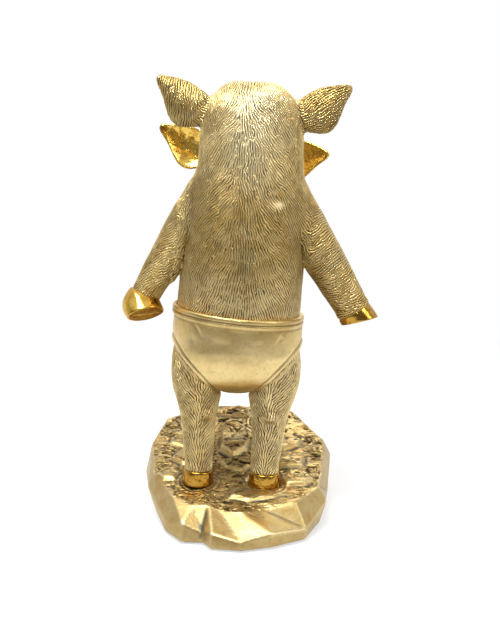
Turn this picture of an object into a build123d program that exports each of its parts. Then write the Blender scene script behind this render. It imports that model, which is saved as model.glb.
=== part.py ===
from build123d import *

import math
import os

# Millimetres, +Z up. The tall pig faces +Y, the small pig faces it, and +X is the tall pig's right.

# Fits and walls
glue_gap = 0.15  # room for glue round every peg, spigot, rod and saddle
touch_gap = 1.6  # air between the two pigs where they nearly touch
casting_wall = 7.0
cut_overrun = 3.0  # how far a cutter runs past the face that it opens

# Tall pig, heights above its soles
crotch_height = 63.5
waist_height = 112.0
neck_height = 201.5
crown_height = 252.5
trunk_half_width = 38.0
trunk_half_depth = 35.0
tall_lean = 2.6
tall_sway = 3.4  # sideways shift of the trunk from its waist to its neck

# Small pig
small_size_share = 0.80
small_ear_share = 1.32
small_lean = 2.6
small_rise = 17.0  # its soles above the tall pig's soles

# Spigots at the waist and the neck
spigot_depth = 6.0
spigot_wall = 3.4

# Briefs and hips
hip_half_width = 39.0
hip_half_depth = 33.5
cloth_thickness = 1.2
waistband_height = 6.0
waistband_thickness = 1.1
waistband_rise = 2.2  # of its middle above the waist
waistband_tilt = 3.2  # degrees, the left side higher
opening_side_height = 92.5  # where a leg opening meets the side of the hip
opening_crotch_height = 63.5  # where it meets the crotch
opening_crotch_half_width = 12.0

# Legs, hind hooves and rods
foot_half_spacing = 21.0
hip_half_spacing = 24.0
small_foot_half_spacing = 29.0  # at the tall pig's size
shin_radius = 9.6
thigh_radius = 16.5
thigh_top_height = 92.0
hind_hoof_height = 9.5
hind_hoof_radius = 10.0
hoof_cleft_width = 1.2
hoof_cleft_depth = 2.0
rod_radius = 2.5
rod_base_depth = 7.0
rod_top_height = 80.0

# Arms and fore hooves
shoulder_height = 196.0  # where an arm starts inside the trunk
shoulder_radius = 15.0
wrist_radius = 10.4
left_wrist_height = 119.5
right_wrist_height = 116.0
left_wrist_reach = 58.2  # sideways from the trunk's axis
right_wrist_reach = 71.2
left_elbow_bow = 5.0  # how far the arm bows out of its straight line
right_elbow_bow = 1.5
arm_peg_radius = 6.0
arm_peg_depth = 7.0
left_hoof_toe_height = 21.2
left_hoof_heel_height = 2.2
right_hoof_toe_height = 11.2
right_hoof_heel_height = 4.4
small_hoof_height = 9.0  # at the tall pig's size
fore_hoof_half_length = 11.8
fore_hoof_half_width = 9.4
hoof_peg_radius = 4.0
hoof_peg_depth = 6.0
left_sole_shift = 5.8  # of the left fore hoof's sole towards its heel
left_hoof_swing = 42.0  # degrees that the left fore hoof turns back from the forearm
right_hoof_swing = 8.0
small_hoof_turn = 34.0  # degrees round the tall pig's belly from its middle line
small_forearm = 27.0  # at the tall pig's size
small_hoof_rise = 18.0  # on the tall pig, above its waist

# Head
ear_height = 233.5
ear_length = 34.0
ear_half_width = 13.7
ear_thickness = 3.2
ear_cup_depth = 6.0
ear_peg_radius = 3.0
ear_peg_depth = 5.0
tall_left_ear_rise = 17.0
tall_right_ear_rise = 15.5
small_left_ear_rise = -12.0
small_right_ear_rise = 7.5
small_left_ear_turn = 32.0  # degrees about the ear's own length
snout_height = 217.5
snout_reach = 47.0  # from the trunk's axis to the nose seat
snout_root_half_width = 19.0
snout_root_half_height = 17.0
snout_tip_half_width = 12.2
snout_tip_half_height = 10.6
nose_thickness = 3.2
nose_peg_radius = 5.0
nose_peg_depth = 4.0
nostril_radius = 1.9
nostril_depth = 2.0
nostril_half_spacing = 4.6
eye_radius = 3.0
eye_height = 230.5
eye_turn = 40.0  # degrees from straight ahead

# Rock base
base_half_width = 60.0
base_half_length = 81.0
felt_thickness = 1.5
felt_margin = 5.0
cover_thickness = 2.5
cover_margin = 4.0
hollow_margin = 19.0
seat_depth = 1.6  # how deep a hoof stands in the rock
tall_seat_height = 26.0
tall_seat_x = -3.5
tall_seat_y = -21.0
seat_roof = 9.5  # rock left under the lower pair of seats
rock_lip_shift = 1.2  # unevenness of the rock's top
rock_slab_height = 3.2  # of the slabs that lie on the rock's top
rock_slab_sink = 4.0  # how deep they sit in it

# Shares of the trunk: height from waist to crown, half width, half depth, forward shift of half depth
trunk_section_shares = (
    (0.000, 0.99, 0.95, 0.00),
    (0.090, 1.00, 1.00, 0.04),
    (0.200, 1.00, 1.03, 0.06),
    (0.310, 0.99, 0.99, 0.05),
    (0.410, 0.99, 0.91, 0.02),
    (0.500, 0.97, 0.84, 0.00),
    (0.570, 0.91, 0.80, 0.00),
    (0.640, 0.85, 0.78, 0.00),
    (0.730, 0.83, 0.80, 0.01),
    (0.820, 0.80, 0.79, 0.01),
    (0.890, 0.74, 0.73, 0.01),
    (0.945, 0.62, 0.61, 0.01),
    (0.982, 0.47, 0.46, 0.01),
    (1.000, 0.30, 0.29, 0.01),
)
cavity_top_share = 0.90  # of the trunk's height

# Shares of the hips: height from crotch to waist, half width, half depth
hip_section_shares = (
    (0.00, 0.30, 0.42),
    (0.09, 0.58, 0.68),
    (0.24, 0.85, 0.89),
    (0.45, 0.98, 0.99),
    (0.75, 1.00, 1.00),
    (1.00, 0.99, 0.99),
)
hip_floor_share = 0.30  # where the hollow of the hips ends
hoof_bulge_share = 0.60  # of a fore hoof's flare, halfway down
sole_cleft_share = 0.78  # of a fore hoof's sole length
hind_bulge_share = 0.20  # of a hind hoof's taper, halfway up

# Shares of a leg: height from hoof to thigh top, radius from shin to thigh, way from foot to hip spacing
leg_section_shares = (
    (0.00, -0.06, 0.00),
    (0.18, 0.00, 0.14),
    (0.35, 0.12, 0.34),
    (0.48, 0.36, 0.52),
    (0.62, 0.76, 0.76),
    (0.76, 0.98, 0.94),
    (0.88, 0.92, 1.00),
    (1.00, 0.70, 1.00),
)

# Shares of an arm: way along it, radius from shoulder to wrist
arm_section_shares = ((0.0, 1.00), (0.3, 0.86), (0.6, 0.55), (0.85, 0.20), (1.0, 0.00))
shoulder_inset_share = 0.36  # of the trunk's half width
arm_peg_share = 0.42  # way along the arm where it leaves the trunk

# Shares of an ear: way along it, half width, cup depth, lift of its middle in half widths
ear_section_shares = (
    (-0.12, 0.64, 0.70, 0.00),
    (0.10, 0.82, 0.90, 0.00),
    (0.34, 1.00, 1.00, 0.00),
    (0.52, 0.96, 0.95, 0.08),
    (0.70, 0.70, 0.75, 0.31),
    (0.87, 0.38, 0.48, 0.57),
    (1.00, 0.10, 0.18, 0.72),
)
ear_back_share = 0.06  # of the trunk's half depth, behind its middle

# Shares of the snout: way along it, size from root to tip
snout_section_shares = ((0.0, 0.00), (0.45, 0.35), (0.75, 0.80), (0.93, 1.02), (1.0, 1.00))
snout_root_share = 0.25  # where it starts inside the head, of its reach

# Shares of the rock, one row a spoke: turn, ground, belt and rim radius, belt and rim height
rock_spoke_shares = (
    (0.000, 0.90, 0.99, 0.94, 0.42, 1.03),
    (0.070, 0.97, 1.17, 1.07, 0.66, 0.97),
    (0.150, 1.00, 1.17, 1.09, 0.44, 1.04),
    (0.225, 0.97, 1.07, 1.00, 0.64, 1.02),
    (0.300, 0.98, 1.11, 1.03, 0.42, 1.05),
    (0.375, 1.02, 1.19, 1.15, 0.68, 0.99),
    (0.445, 0.93, 1.09, 1.00, 0.46, 1.04),
    (0.520, 0.86, 0.96, 0.89, 0.66, 0.97),
    (0.595, 0.89, 0.91, 0.81, 0.40, 1.03),
    (0.645, 0.92, 0.90, 0.73, 0.64, 0.97),
    (0.680, 0.82, 0.81, 0.67, 0.34, 1.02),
    (0.705, 0.91, 0.89, 0.66, 0.60, 0.96),
    (0.760, 0.92, 0.91, 0.71, 0.34, 1.03),
    (0.815, 0.92, 0.94, 0.70, 0.60, 0.96),
    (0.880, 0.98, 0.99, 0.85, 0.38, 1.03),
    (0.945, 0.93, 1.01, 0.92, 0.62, 0.98),
)
rock_plateau_shares = (
    *(0.56, 0.50, 0.58, 0.53, 0.60, 0.52, 0.57, 0.51),
    *(0.55, 0.58, 0.50, 0.52, 0.57, 0.50, 0.58, 0.54),
)
rock_lip_shares = (
    *(0.4, -0.5, 0.9, -0.2, 0.6, -0.7, 0.3, 0.8),
    *(-0.4, 0.5, -0.2, -0.6, 0.2, 0.7, -0.3, -0.8),
)

# Shares of the slabs on the rock: across, ahead, half width, half length, height, turn
rock_slab_shares = (
    (-0.03, 0.30, 0.25, 0.24, 1.25, 0.05),
    (-0.50, 0.10, 0.34, 0.17, 0.70, 0.02),
    (0.52, 0.05, 0.36, 0.18, 0.90, 0.54),
    (0.50, 0.34, 0.33, 0.17, 0.75, 0.07),
    (-0.56, 0.38, 0.30, 0.18, 0.80, 0.58),
    (0.02, 0.01, 0.28, 0.15, 0.60, 0.46),
    (0.64, -0.22, 0.24, 0.16, 0.80, 0.97),
    (-0.72, -0.15, 0.18, 0.15, 0.70, 0.50),
    (0.20, -0.47, 0.44, 0.12, 0.55, 0.03),
    (-0.06, 0.87, 0.42, 0.15, 0.80, 0.52),
    (-0.04, 0.57, 0.22, 0.17, 0.60, 0.93),
)
slab_corner_shares = ((0.00, 1.00), (0.16, 0.88), (0.33, 1.06), (0.52, 0.90), (0.68, 1.04), (0.86, 0.84))
slab_top_share = 0.68  # size of a slab's top
slab_middle_share = 1.25  # height of a slab's middle

oval_points = 12
sides = {"left": -1, "right": 1}


def mix(start, end, share):
    return start + (end - start) * share


def read_shares(table, height):
    """The row of a share table at a height, by straight lines between its rows."""
    low, high = table[0], table[-1]
    for first, second in zip(table, table[1:]):
        if first[0] <= height <= second[0]:
            low, high = first, second
    share = min(max((height - low[0]) / (high[0] - low[0]), 0), 1)
    return [mix(a, b, share) for a, b in zip(low, high)]


def oval(plane, half_width, half_depth):
    turns = [math.tau * step / oval_points for step in range(oval_points)]
    points = [(half_width * math.cos(turn), half_depth * math.sin(turn)) for turn in turns]
    return Face(Wire([Spline(*[plane.from_local_coords(point) for point in points], periodic=True)]))


def rod(start, direction, length, radius):
    return Solid.make_cylinder(radius, length, Plane(origin=start, z_dir=direction))


def solid_of(shape):
    """The one large solid of a shape whose trimming may have left crumbs."""
    return max(shape.solids(), key=lambda solid: solid.volume)


class Pig:
    """One pig, standing upright on the origin and facing +Y; place puts it on the rock."""

    def __init__(self, name, size_share, ear_share, ear_rises, ear_turns, foot_spacing, sway, place):
        self.name = name
        self.share = size_share
        self.ear_share = ear_share
        self.ear_rises = ear_rises
        self.ear_turns = ear_turns
        self.foot_x = foot_spacing * size_share
        self.hip_x = hip_half_spacing * size_share
        self.sway = sway * size_share
        self.place = place
        self.waist = waist_height * size_share
        self.neck = neck_height * size_share
        self.crown = crown_height * size_share
        self.half_width = trunk_half_width * size_share
        self.half_depth = trunk_half_depth * size_share
        self.wall = casting_wall * size_share
        self.trunk = self.trunk_form(0)
        self.trunk_cutter = self.trunk_form(glue_gap)

    def aside(self, height):
        return self.sway * min(max((height - self.waist) / (self.neck - self.waist), 0), 1)

    def level(self, height, forward=0):
        return Plane(origin=(self.aside(height), forward, height))

    def trunk_at(self, height):
        share = (height - self.waist) / (self.crown - self.waist)
        row = read_shares(trunk_section_shares, share)
        return row[1] * self.half_width, row[2] * self.half_depth, row[3] * self.half_depth

    def trunk_form(self, grow):
        sections = []
        for height, wide, deep, forward in trunk_section_shares:
            plane = self.level(mix(self.waist, self.crown, height), forward * self.half_depth)
            sections.append(oval(plane, wide * self.half_width + grow, deep * self.half_depth + grow))
        return loft(sections)

    def trunk_cavity(self, low, high):
        heights = [low]
        heights += [mix(self.waist, self.crown, row[0]) for row in trunk_section_shares]
        heights = [height for height in heights if low <= height < high] + [high]
        sections = []
        for height in heights:
            wide, deep, forward = self.trunk_at(height)
            sections.append(oval(self.level(height, forward), wide - self.wall, deep - self.wall))
        return loft(sections)

    def spigot(self, height):
        """Ring below a joint plane that centres the upper casting in the lower one."""
        wide, deep, forward = self.trunk_at(height)
        inner = self.wall + spigot_wall * self.share
        plane = self.level(height, forward)
        outer_face = oval(plane, wide - self.wall - glue_gap, deep - self.wall - glue_gap)
        inner_face = oval(plane, wide - inner, deep - inner)
        down = (0, 0, -spigot_depth * self.share)
        return Solid.extrude(outer_face, down) - Solid.extrude(inner_face, down)

    def torso(self):
        shell = split(self.trunk, bisect_by=self.level(self.neck), keep=Keep.BOTTOM)
        shell -= self.trunk_cavity(self.waist - cut_overrun, self.neck + cut_overrun)
        shell += self.spigot(self.waist)
        for side in sides:
            shell -= self.arm_peg(side, glue_gap)
        return solid_of(shell)

    def head(self):
        form = split(self.trunk, bisect_by=self.level(self.neck), keep=Keep.TOP) + self.snout()
        top = mix(self.waist, self.crown, cavity_top_share)
        form -= self.trunk_cavity(self.neck - cut_overrun, top)
        form += self.spigot(self.neck)
        for side in sides:
            form -= self.ear_peg(side, glue_gap)
            form -= self.eye(side, glue_gap)
        form -= self.nose_peg(glue_gap)
        return solid_of(form)

    def snout_plane(self, share):
        reach = snout_reach * self.share
        forward = mix(reach * snout_root_share, reach, share)
        height = snout_height * self.share
        return Plane(origin=(self.aside(height), forward, height), x_dir=(1, 0, 0), z_dir=(0, 1, 0))

    def snout(self):
        sections = []
        for along, narrow in snout_section_shares:
            wide = mix(snout_root_half_width, snout_tip_half_width, narrow) * self.share
            tall = mix(snout_root_half_height, snout_tip_half_height, narrow) * self.share
            sections.append(oval(self.snout_plane(along), wide, tall))
        return loft(sections)

    def nose_peg(self, grow):
        seat = self.snout_plane(1).origin
        depth = nose_peg_depth * self.share + grow
        return rod(seat, (0, -1, 0), depth, nose_peg_radius * self.share + grow)

    def nose(self):
        seat = self.snout_plane(1)
        thickness = nose_thickness * self.share
        face = oval(seat, snout_tip_half_width * self.share, snout_tip_half_height * self.share)
        disc = Solid.extrude(face, seat.z_dir * thickness)
        for side in sides.values():
            mouth = seat.origin + Vector(side * nostril_half_spacing * self.share, thickness, 0)
            disc -= rod(mouth, (0, -1, 0), nostril_depth * self.share, nostril_radius * self.share)
        return solid_of(disc + self.nose_peg(0))

    def eye(self, side, grow):
        height = eye_height * self.share
        wide, deep, forward = self.trunk_at(height)
        turn = math.radians(eye_turn)
        x = self.aside(height) + sides[side] * wide * math.sin(turn)
        center = (x, forward + deep * math.cos(turn), height)
        return Pos(*center) * Solid.make_sphere(eye_radius * self.share + grow)

    def ear_frame(self, side):
        height = ear_height * self.share
        wide, deep, forward = self.trunk_at(height)
        rise = math.radians(self.ear_rises[side])
        root = (self.aside(height) + sides[side] * wide, forward - ear_back_share * deep, height)
        out = (sides[side] * math.cos(rise), 0, math.sin(rise))
        across = (-sides[side] * math.sin(rise), 0, math.cos(rise))
        upright = Plane(origin=root, x_dir=across, z_dir=out)
        return upright.rotated((0, 0, sides[side] * self.ear_turns[side]))

    def ear(self, side):
        frame = self.ear_frame(side)
        size = self.share * self.ear_share
        front = math.copysign(1, frame.y_dir.Y)
        sections = []
        for along, wide, cup, lift in ear_section_shares:
            plane = Plane(frame.location * Pos(lift * ear_half_width * size, 0, along * ear_length * size))
            half = wide * ear_half_width * size
            dip = -front * cup * ear_cup_depth * size
            rim = front * ear_thickness * size / 2
            back = ThreePointArc((-half, -rim), (0, dip - rim), (half, -rim))
            hollow = ThreePointArc((half, rim), (0, dip + rim), (-half, rim))
            edges = [back, Line(back @ 1, hollow @ 0), hollow, Line(hollow @ 1, back @ 0)]
            sections.append(plane * Face(Wire(edges)))
        form = loft(sections) - self.trunk_cutter
        return solid_of(solid_of(form) + self.ear_peg(side, 0))

    def ear_peg(self, side, grow):
        frame = self.ear_frame(side)
        depth = ear_peg_depth * self.share
        back = Vector(0, -ear_cup_depth * self.share * self.ear_share * ear_section_shares[0][2], 0)
        start = frame.origin + back - frame.z_dir * (depth + grow)
        return rod(start, frame.z_dir, depth * 2 + grow, ear_peg_radius * self.share + grow)

    def shoulder(self, side):
        height = shoulder_height * self.share
        return Vector(self.aside(height) + sides[side] * shoulder_inset_share * self.half_width, 0, height)

    def arm_path(self, side):
        """Shoulder, elbow and wrist of an arm that hangs outwards."""
        reach, height, bow = right_wrist_reach, right_wrist_height, right_elbow_bow
        if side == "left":
            reach, height, bow = left_wrist_reach, left_wrist_height, left_elbow_bow
        shoulder = self.shoulder(side)
        wrist = Vector(sides[side] * reach, 0, height) * self.share
        along = (wrist - shoulder).normalized()
        out = along.cross(Vector(0, sides[side], 0)) * bow * self.share
        return shoulder, (shoulder + wrist) / 2 + out, wrist

    def arm_plane(self, side, share):
        shoulder, elbow, wrist = self.arm_path(side)
        point = mix(mix(shoulder, elbow, share), mix(elbow, wrist, share), share)
        along = mix(elbow - shoulder, wrist - elbow, share)
        return Plane(origin=point, x_dir=(shoulder - elbow).cross(wrist - elbow), z_dir=along)

    def arm(self, side):
        sections = []
        for along, thick in arm_section_shares:
            radius = mix(wrist_radius, shoulder_radius, thick) * self.share
            sections.append(oval(self.arm_plane(side, along), radius, radius))
        form = solid_of(loft(sections) - self.trunk_cutter) + self.arm_peg(side, 0)
        return solid_of(form - self.hoof_peg(side, glue_gap))

    def arm_peg(self, side, grow):
        plane = self.arm_plane(side, arm_peg_share)
        depth = arm_peg_depth * self.share
        start = plane.origin - plane.z_dir * (depth + grow)
        return rod(start, plane.z_dir, depth * 2 + grow, arm_peg_radius * self.share + grow)

    def hoof_frame(self, side):
        """Coronet of a fore hoof: its x points to the toe and its z out through the sole."""
        wrist = self.arm_plane(side, 1)
        toe = Vector(sides[side], 0, 0)
        toe -= wrist.z_dir * toe.dot(wrist.z_dir)
        return Plane(origin=wrist.origin, x_dir=toe, z_dir=wrist.z_dir)

    def hoof_swing(self, side):
        turn = left_hoof_swing if side == "left" else right_hoof_swing
        return -turn * sides[side]

    def sole_shift(self, side):
        return left_sole_shift * self.share if side == "left" else 0

    def hoof_heights(self, side):
        """Heights of a fore hoof's wall at its toe and its heel."""
        if side == "left":
            return left_hoof_toe_height * self.share, left_hoof_heel_height * self.share
        return right_hoof_toe_height * self.share, right_hoof_heel_height * self.share

    def hoof_peg(self, side, grow):
        frame = self.hoof_frame(side)
        depth = hoof_peg_depth * self.share + grow
        return rod(frame.origin, -frame.z_dir, depth, hoof_peg_radius * self.share + grow)

    def fore_hoof(self, side):
        frame = self.hoof_frame(side)
        toe, heel = self.hoof_heights(side)
        half_length, half_width = fore_hoof_half_length * self.share, fore_hoof_half_width * self.share
        tilt = math.degrees(math.atan2(toe - heel, half_length * 2))
        swing = self.hoof_swing(side)
        middle = (toe + heel) / 2
        sole = frame * Rot(swing, 0, 0) * Pos(-self.sole_shift(side), 0, middle) * Rot(0, -tilt, 0)
        waist = frame * Rot(swing / 2, 0, 0) * Pos(0, 0, middle / 2) * Rot(0, -tilt / 2, 0)
        radius = wrist_radius * self.share
        form = loft([
            oval(frame, radius, radius),
            oval(Plane(waist), *[mix(radius, half, hoof_bulge_share) for half in (half_length, half_width)]),
            oval(Plane(sole), half_length, half_width),
        ])
        cleft_length = half_length * 2 * sole_cleft_share
        form -= Plane(sole) * Box(cleft_length, hoof_cleft_width * self.share, hoof_cleft_depth * self.share)
        return solid_of(form + self.hoof_peg(side, 0))

    def hips(self, grow):
        sections = []
        for height, wide, deep in hip_section_shares:
            plane = self.level(mix(crotch_height, waist_height, height) * self.share)
            half_width = wide * hip_half_width * self.share + grow
            sections.append(oval(plane, half_width, deep * hip_half_depth * self.share + grow))
        return loft(sections)

    def opening(self, side, shift):
        """Plane of a leg opening, with its z out of the briefs and into the leg."""
        across = (hip_half_width - opening_crotch_half_width) * self.share
        climb = (opening_side_height - opening_crotch_height) * self.share
        x = sides[side] * opening_crotch_half_width * self.share
        low = (x, 0, opening_crotch_height * self.share)
        plane = Plane(origin=low, x_dir=(0, 1, 0), z_dir=(sides[side] * climb, 0, -across))
        return plane.offset(shift)

    def hollow_floor(self):
        return mix(crotch_height, waist_height, hip_floor_share) * self.share

    def waistband(self):
        """Band round the waist, a little higher on the left, clear of the torso above the joint."""
        grow = (cloth_thickness + waistband_thickness) * self.share
        _, wide, deep = hip_section_shares[-1]
        half_width, half_depth = wide * hip_half_width * self.share, deep * hip_half_depth * self.share
        middle = Pos(0, 0, self.waist + waistband_rise * self.share) * Rot(0, waistband_tilt, 0)
        face = oval(Plane(middle), half_width + grow, half_depth + grow)
        ring = Solid.extrude(face, Plane(middle).z_dir * -waistband_height * self.share)
        return ring - self.trunk_cutter

    def briefs(self):
        form = self.hips(cloth_thickness * self.share)
        for side in sides:
            form = split(form, bisect_by=self.opening(side, 0), keep=Keep.BOTTOM)
        form = solid_of(solid_of(form) + self.waistband())
        wide, deep, forward = self.trunk_at(self.waist)
        mouth = oval(self.level(self.waist, forward), wide - self.wall, deep - self.wall)
        form -= Solid.extrude(mouth, (0, 0, self.hollow_floor() - self.waist))
        return solid_of(form - self.rod_bores())

    def leg(self, side):
        sections = []
        for height, thick, out in leg_section_shares:
            radius = mix(shin_radius, thigh_radius, thick) * self.share
            x = sides[side] * mix(self.foot_x, self.hip_x, out)
            z = mix(hind_hoof_height, thigh_top_height, height) * self.share
            sections.append(oval(Plane(origin=(x, 0, z)), radius, radius))
        form = loft(sections) + self.hips(0)
        form = solid_of(split(form, bisect_by=self.opening(side, glue_gap), keep=Keep.TOP))
        return solid_of(form - self.rod_bores())

    def hoof_oval(self, side, height, grow):
        center = (sides[side] * self.foot_x, 0, height)
        radius = hind_hoof_radius * self.share + grow
        return oval(Plane(origin=center), radius, radius)

    def hind_hoof(self, side):
        height = hind_hoof_height * self.share
        shin = (mix(shin_radius, thigh_radius, leg_section_shares[0][1]) - hind_hoof_radius) * self.share
        form = loft([
            self.hoof_oval(side, 0, 0),
            self.hoof_oval(side, height / 2, shin * hind_bulge_share),
            self.hoof_oval(side, height, shin),
        ])
        depth = hoof_cleft_depth * self.share
        cleft = Box(hoof_cleft_width * self.share, depth * 2, height * 2)
        form -= Pos(sides[side] * self.foot_x, hind_hoof_radius * self.share, 0) * cleft
        return solid_of(form - self.rod_bores())

    def rods(self, top, grow):
        made = []
        for side in sides.values():
            foot = Vector(side * self.foot_x, 0, 0)
            along = (Vector(side * self.hip_x, 0, thigh_top_height * self.share) - foot).normalized()
            low, high = rod_base_depth + grow, top + grow
            made.append(rod(foot - along * low, along, low + high, rod_radius * self.share + grow))
        return made

    def rod_bores(self):
        """Bores that open into the hollow of the hips."""
        return Compound(self.rods(self.hollow_floor() + cut_overrun, glue_gap))

    def seats(self):
        height = hind_hoof_height * self.share
        return [Solid.extrude(self.hoof_oval(side, 0, glue_gap), (0, 0, height)) for side in sides]

    def nodes(self):
        made = {
            "torso": [self.torso()],
            "head": [self.head()],
            "nose": [self.nose()],
            "eyes": [self.eye(side, 0) for side in sides],
            "briefs": [self.briefs()],
            "leg_rods": self.rods(rod_top_height * self.share, 0),
        }
        for side in sides:
            made[side + "_ear"] = [self.ear(side)]
            made[side + "_arm"] = [self.arm(side)]
            made[side + "_fore_hoof"] = [self.fore_hoof(side)]
            made[side + "_leg"] = [self.leg(side)]
            made[side + "_hind_hoof"] = [self.hind_hoof(side)]
        placed = {}
        for name, solids in made.items():
            placed[f"{self.name}_{name}"] = [self.place * solid for solid in solids]
        return placed


class SmallPig(Pig):
    """The pig that faces the tall one, with its fore hooves laid on the tall one's belly."""

    def __init__(self, partner, *sizes):
        self.partner = partner
        super().__init__(*sizes)

    def touch_plane(self, side):
        """Plane that touches the partner's belly under a hoof, its z into the belly, in this pig's frame."""
        height = self.partner.waist + small_hoof_rise
        wide, deep, forward = self.partner.trunk_at(height)
        turn = math.radians(small_hoof_turn)
        across = -sides[side]
        x = self.partner.aside(height) + across * wide * math.sin(turn)
        point = Vector(x, forward + deep * math.cos(turn), height)
        outward = Vector(across * math.sin(turn) / wide, math.cos(turn) / deep, 0).normalized()
        plane = Plane(origin=point + outward * touch_gap, x_dir=(0, 0, 1), z_dir=-outward)
        return Plane(self.place.inverse() * self.partner.place * plane.location)

    def hoof_frame(self, side):
        return self.touch_plane(side).offset(-small_hoof_height * self.share)

    def arm_path(self, side):
        frame = self.hoof_frame(side)
        return self.shoulder(side), frame.origin - frame.z_dir * small_forearm * self.share, frame.origin

    def hoof_swing(self, side):
        return 0

    def sole_shift(self, side):
        return 0

    def hoof_heights(self, side):
        return small_hoof_height * self.share, small_hoof_height * self.share


# Where the two pigs stand
ground = felt_thickness
pair_spacing = trunk_half_depth * (1 + small_size_share) + touch_gap + casting_wall * 2
tall_place = Pos(tall_seat_x, tall_seat_y, tall_seat_height) * Rot(0, tall_lean, 0)
small_spot = Pos(tall_seat_x, tall_seat_y + pair_spacing, tall_seat_height + small_rise)
small_place = small_spot * Rot(0, small_lean, 0) * Rot(0, 0, 180)
tall_rises = {"left": tall_left_ear_rise, "right": tall_right_ear_rise}
small_rises = {"left": small_left_ear_rise, "right": small_right_ear_rise}
straight = {"left": 0, "right": 0}
small_turns = {"left": small_left_ear_turn, "right": 0}
tall = Pig("tall", 1, 1, tall_rises, straight, foot_half_spacing, tall_sway, tall_place)
small_sizes = (small_size_share, small_ear_share, small_rises, small_turns, small_foot_half_spacing, 0)
small = SmallPig(tall, "small", *small_sizes, small_place)


def rock_top(y):
    """Height of the rock's top, which climbs from the tall pig's seats to the small pig's."""
    return tall_seat_height + seat_depth + small_rise * (y - tall_seat_y) / pair_spacing


def rock_point(turn, radius):
    angle = math.tau * turn
    return base_half_width * radius * math.cos(angle), base_half_length * radius * math.sin(angle)


def faceted(rings, middle):
    """Closed skin of flat facets through rings of points, up to one point in the middle."""
    count = len(rings[0])
    faces = [Face(Wire.make_polygon(rings[0]))]
    for lower, upper in zip(rings, rings[1:]):
        for this in range(count):
            after = (this + 1) % count
            faces.append(Face(Wire.make_polygon([lower[this], lower[after], upper[this]])))
            faces.append(Face(Wire.make_polygon([lower[after], upper[after], upper[this]])))
    for this in range(count):
        faces.append(Face(Wire.make_polygon([rings[-1][this], rings[-1][(this + 1) % count], middle])))
    return Solid(Shell(faces))


def rock_form():
    """The rock through a ground, a belt, a rim and a plateau ring."""
    rings = [[], [], [], []]
    for row, plateau, lip in zip(rock_spoke_shares, rock_plateau_shares, rock_lip_shares):
        turn, low, belt, rim, belt_high, rim_high = row
        x, y = rock_point(turn, low)
        rings[0].append(Vector(x, y, ground))
        x, y = rock_point(turn, belt)
        rings[1].append(Vector(x, y, mix(ground, rock_top(y), belt_high)))
        x, y = rock_point(turn, rim)
        rings[2].append(Vector(x, y, mix(ground, rock_top(y), rim_high)))
        x, y = rock_point(turn, plateau)
        rings[3].append(Vector(x, y, rock_top(y) + lip * rock_lip_shift))
    return faceted(rings, Vector(0, 0, rock_top(0)))


def rock_slab(across, ahead, wide, long, high, spin):
    """A flat stone that stands a little proud of the rock's top."""
    x, y = across * base_half_width, ahead * base_half_length
    lift = high * rock_slab_height
    rings = []
    for spread, rise in ((1, -rock_slab_sink), (slab_top_share, lift)):
        ring = []
        for turn, reach in slab_corner_shares:
            angle = math.tau * (turn + spin)
            corner_x = x + wide * base_half_width * reach * spread * math.cos(angle)
            corner_y = y + long * base_half_length * reach * spread * math.sin(angle)
            ring.append(Vector(corner_x, corner_y, rock_top(corner_y) + rise))
        rings.append(ring)
    return faceted(rings, Vector(x, y, rock_top(y) + lift * slab_middle_share))


def base_outline(margin, height):
    """Ground outline of the rock, drawn in by a margin."""
    points = []
    for row in rock_spoke_shares:
        x, y = rock_point(row[0], row[1])
        inward = 1 - margin / math.hypot(x, y)
        points.append(Vector(x * inward, y * inward, height))
    return Face(Wire.make_polygon(points))


def rock_base():
    form = rock_form()
    for row in rock_slab_shares:
        form += rock_slab(*row)
    roof = tall_seat_height - seat_roof
    form -= Solid.extrude(base_outline(hollow_margin, ground), (0, 0, roof - ground))
    rebate = base_outline(hollow_margin - cover_margin, ground)
    form -= Solid.extrude(rebate, (0, 0, cover_thickness + glue_gap))
    for pig in (tall, small):
        for cutter in (*pig.seats(), pig.rod_bores()):
            form -= pig.place * cutter
    return solid_of(form)


cover_face = base_outline(hollow_margin - cover_margin + glue_gap, ground)
cover = Solid.extrude(cover_face, (0, 0, cover_thickness))
felt = Solid.extrude(base_outline(felt_margin, 0), (0, 0, felt_thickness))
pieces = {"rock_base": [rock_base()], "base_cover": [cover], "felt_sheet": [felt]}
pieces.update(tall.nodes())
pieces.update(small.nodes())

os.makedirs("parts", exist_ok=True)
for node, solids in pieces.items():
    export_step(Compound(solids) if len(solids) > 1 else solids[0], f"parts/{node}.step")
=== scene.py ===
import math

import bmesh
import bpy
import numpy as np
import openvdb
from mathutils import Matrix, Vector


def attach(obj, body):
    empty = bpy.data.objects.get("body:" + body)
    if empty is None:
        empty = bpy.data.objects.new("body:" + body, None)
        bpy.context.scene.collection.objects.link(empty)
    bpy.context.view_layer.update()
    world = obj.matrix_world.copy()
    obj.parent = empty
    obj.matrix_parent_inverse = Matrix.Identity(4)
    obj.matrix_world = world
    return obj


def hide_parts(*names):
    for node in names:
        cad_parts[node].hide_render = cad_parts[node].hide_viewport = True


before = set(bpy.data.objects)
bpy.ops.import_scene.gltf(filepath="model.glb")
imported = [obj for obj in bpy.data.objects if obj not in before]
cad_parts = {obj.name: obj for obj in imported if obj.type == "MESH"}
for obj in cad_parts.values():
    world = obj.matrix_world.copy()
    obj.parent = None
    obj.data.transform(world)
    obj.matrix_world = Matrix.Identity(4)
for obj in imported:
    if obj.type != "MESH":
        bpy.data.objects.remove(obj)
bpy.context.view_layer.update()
dice = np.random.default_rng(1180)

# Everything below is worked out in millimetres and written to the meshes in metres.
perMetre = 1000.0
coarser = 1
tiny = 1e-9  # keeps a length of nothing from dividing
faint = 1e-6  # weight of a stroke that doesn't reach a point

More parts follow.
